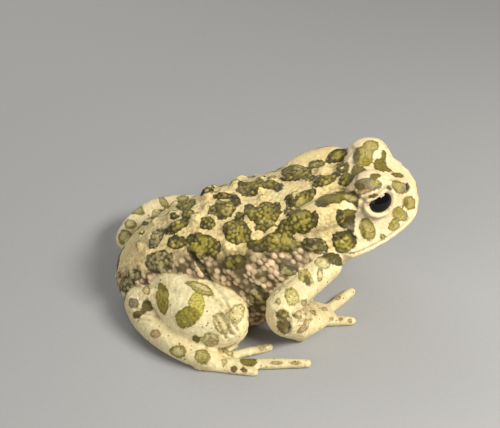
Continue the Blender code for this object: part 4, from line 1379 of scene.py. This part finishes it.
class ToadSkinLook(bpy.types.PropertyGroup):
    """Sizes and colours of the skin."""

    voxel: millimetres("Mesh size", "Spacing of the points from which the skin is drawn", 0.24, 0.1)
    overlap: millimetres("Overlap", "How far the solids are grown so that they run together", 0.22)
    rounds: whole_number("Smoothing", "Rounds that even out the surface", 14)
    triangles: whole_number("Triangles", "Most triangles of the skin", 194000, 1000)
    edge_wander: millimetres("Edge wander", "How far the edges of the spots wander", 0.9)
    grain_strength: factor("Grain", "Strength of the finest grain", 0.7)
    roughness: factor("Roughness", "Mean roughness of the skin", 0.52, 0.1, 0.9)
    # The rim colour also paints the shade in the spots' valleys
    rim_and_valley_shade_colour: tint("Rim", "Colour of the spots' rims and of the valleys in them", hue(58, 51, 10))
    # Partly the tips' own colour, partly painted highlight on them
    tip_and_highlight_colour: tint("Tips", "Colour of the granules' tips in the spots", hue(190, 174, 92))
    # Colour of the freckles and of the painted shade in the valleys between the granules
    freckle_and_valley_shade_colour: tint("Valleys", "Colour of the freckles and valleys between the spots", hue(158, 128, 76))
    tubercle_colour: tint("Tubercles", "Colour of the flank's tubercles", hue(206, 180, 142))
    speck_colour: tint("Specks", "Colour of the small specks on the limbs", hue(128, 88, 52))


class ToadEyeLook(bpy.types.PropertyGroup):
    """Sizes and colours of the eyes."""

    pupil_half_length: millimetres("Pupil half length", "Half the length of the level pupil", 2.85, 0.1)
    pupil_half_height: millimetres("Pupil half height", "Half the height of the level pupil", 2.15, 0.1)
    cornea_rise: millimetres("Cornea rise", "How far the cornea stands out of the eyeball", 0.18)
    iris_colour: tint("Iris", "Colour of the iris between its veins", hue(158, 142, 62))


class ToadStageLook(bpy.types.PropertyGroup):
    """Floor and light."""

    floor_colour: tint("Floor", "Colour of the floor", hue(158, 158, 157))
    sky_colour: tint("Surrounding light", "Colour of the light from all round", (1.0, 0.98, 0.95))
    sky_strength: brightness("Surrounding strength", "Strength of the light from all round", 0.22)
    key_power: brightness("Key power", "Power of the main light", 1.38, "POWER")
    fill_power: brightness("Fill power", "Power of each of the two lights opposite", 0.3, "POWER")


class TOAD_OT_skin(bpy.types.Operator):
    """Draw one skin over all the toad's flesh, with its relief and markings"""

    bl_idname = "toad.skin"
    bl_label = "Skin"
    bl_options = {"REGISTER", "UNDO"}

    def execute(self, context):
        look = context.scene.toad_skin_look
        skin, region = drawn_skin(look)
        shares = Shares(skin, region)
        surface = skin.surface()
        paint = paint_spots(skin, region, surface, shares)
        heights, dark = shape_creases(skin, region, surface)
        heights += shape_face(skin, surface, dark)
        bumps, tops, kind = shape_bumps(skin, shares, paint.inside)
        skin.swell(heights + bumps)
        shape_lids(skin, dark)
        values = {
            "inside": paint.inside,
            "hollow": paint.hollow,
            "tip": tops,
            "kind": kind,
            "flank": shares.flank,
            "warty": np.clip(shares.trunk - shares.gland + LEAST_WARTY, 0, 1),
            "specks": shares.limbs,
            # Painted shade of creases, nostrils, eardrums, mouth and lids
            "fold": np.clip(dark, 0, DARKEST),
        }
        colours = {"ground": ground_colours(shares, skin.points), "paint": paint.colour}
        mesh = thinned(skin, look.triangles, values, colours)
        piece = new_piece("skin", mesh, skin_material(look), *FLESH_NODES)
        return {"FINISHED"}


class TOAD_OT_eyes(bpy.types.Operator):
    """Make both eyeballs with pupil, iris and cornea"""

    bl_idname = "toad.eyes"
    bl_label = "Eyes"
    bl_options = {"REGISTER", "UNDO"}

    def execute(self, context):
        look = context.scene.toad_eye_look
        material = eye_material(look)
        for side, name in ((LEFT, "left"), (RIGHT, "right")):
            piece = new_piece(f"{name}_eyeball", eyeball_mesh(side, look), material, f"eye_{name[0]}")
        return {"FINISHED"}


class TOAD_OT_stage(bpy.types.Operator):
    """Set the floor, the lights and the camera"""

    bl_idname = "toad.stage"
    bl_label = "Stage"
    bl_options = {"REGISTER", "UNDO"}

    def execute(self, context):
        scene = context.scene
        look = scene.toad_stage_look
        bpy.ops.mesh.primitive_plane_add(size=FLOOR_SIZE, location=(0.0, 0.0, 0.0))
        floor = context.object
        floor.name = "floor"
        floor.data.materials.append(floor_material(look.floor_colour))
        for name, place, size, colour in LIGHTS:
            power = look.key_power if name == "key" else look.fill_power
            soft_light(name, place, size, power, colour)
        scene.world = pale_room(look)
        scene.view_settings.view_transform = "Standard"
        scene.camera = picture_camera()
        return {"FINISHED"}


SETTINGS = {"toad_skin_look": ToadSkinLook, "toad_eye_look": ToadEyeLook, "toad_stage_look": ToadStageLook}
STEPS = (TOAD_OT_skin, TOAD_OT_eyes, TOAD_OT_stage)


class TOAD_PT_looks(bpy.types.Panel):
    """The steps that dress the toad, in order"""

    bl_idname = "TOAD_PT_looks"
    bl_label = "Toad Looks"
    bl_space_type = "VIEW_3D"
    bl_region_type = "UI"
    bl_category = "Toad"

    def draw(self, context):
        for operator, (name, kind) in zip(STEPS, SETTINGS.items()):
            box = self.layout.box()
            box.operator(operator.bl_idname)
            for setting in kind.__annotations__:
                box.prop(getattr(context.scene, name), setting)


CLASSES = (*SETTINGS.values(), *STEPS, TOAD_PT_looks)


def register():
    """Registers the classes and hangs their settings on the scene."""
    for each in CLASSES:
        bpy.utils.register_class(each)
    for name, kind in SETTINGS.items():
        setattr(bpy.types.Scene, name, PointerProperty(type=kind))


def unregister():
    """Takes the settings and classes away again."""
    for name in SETTINGS:
        delattr(bpy.types.Scene, name)
    for each in reversed(CLASSES):
        bpy.utils.unregister_class(each)


def main():
    """Dresses the toad."""
    register()
    bpy.ops.toad.skin()
    bpy.ops.toad.eyes()
    bpy.ops.toad.stage()


if __name__ == "__main__":
    main()
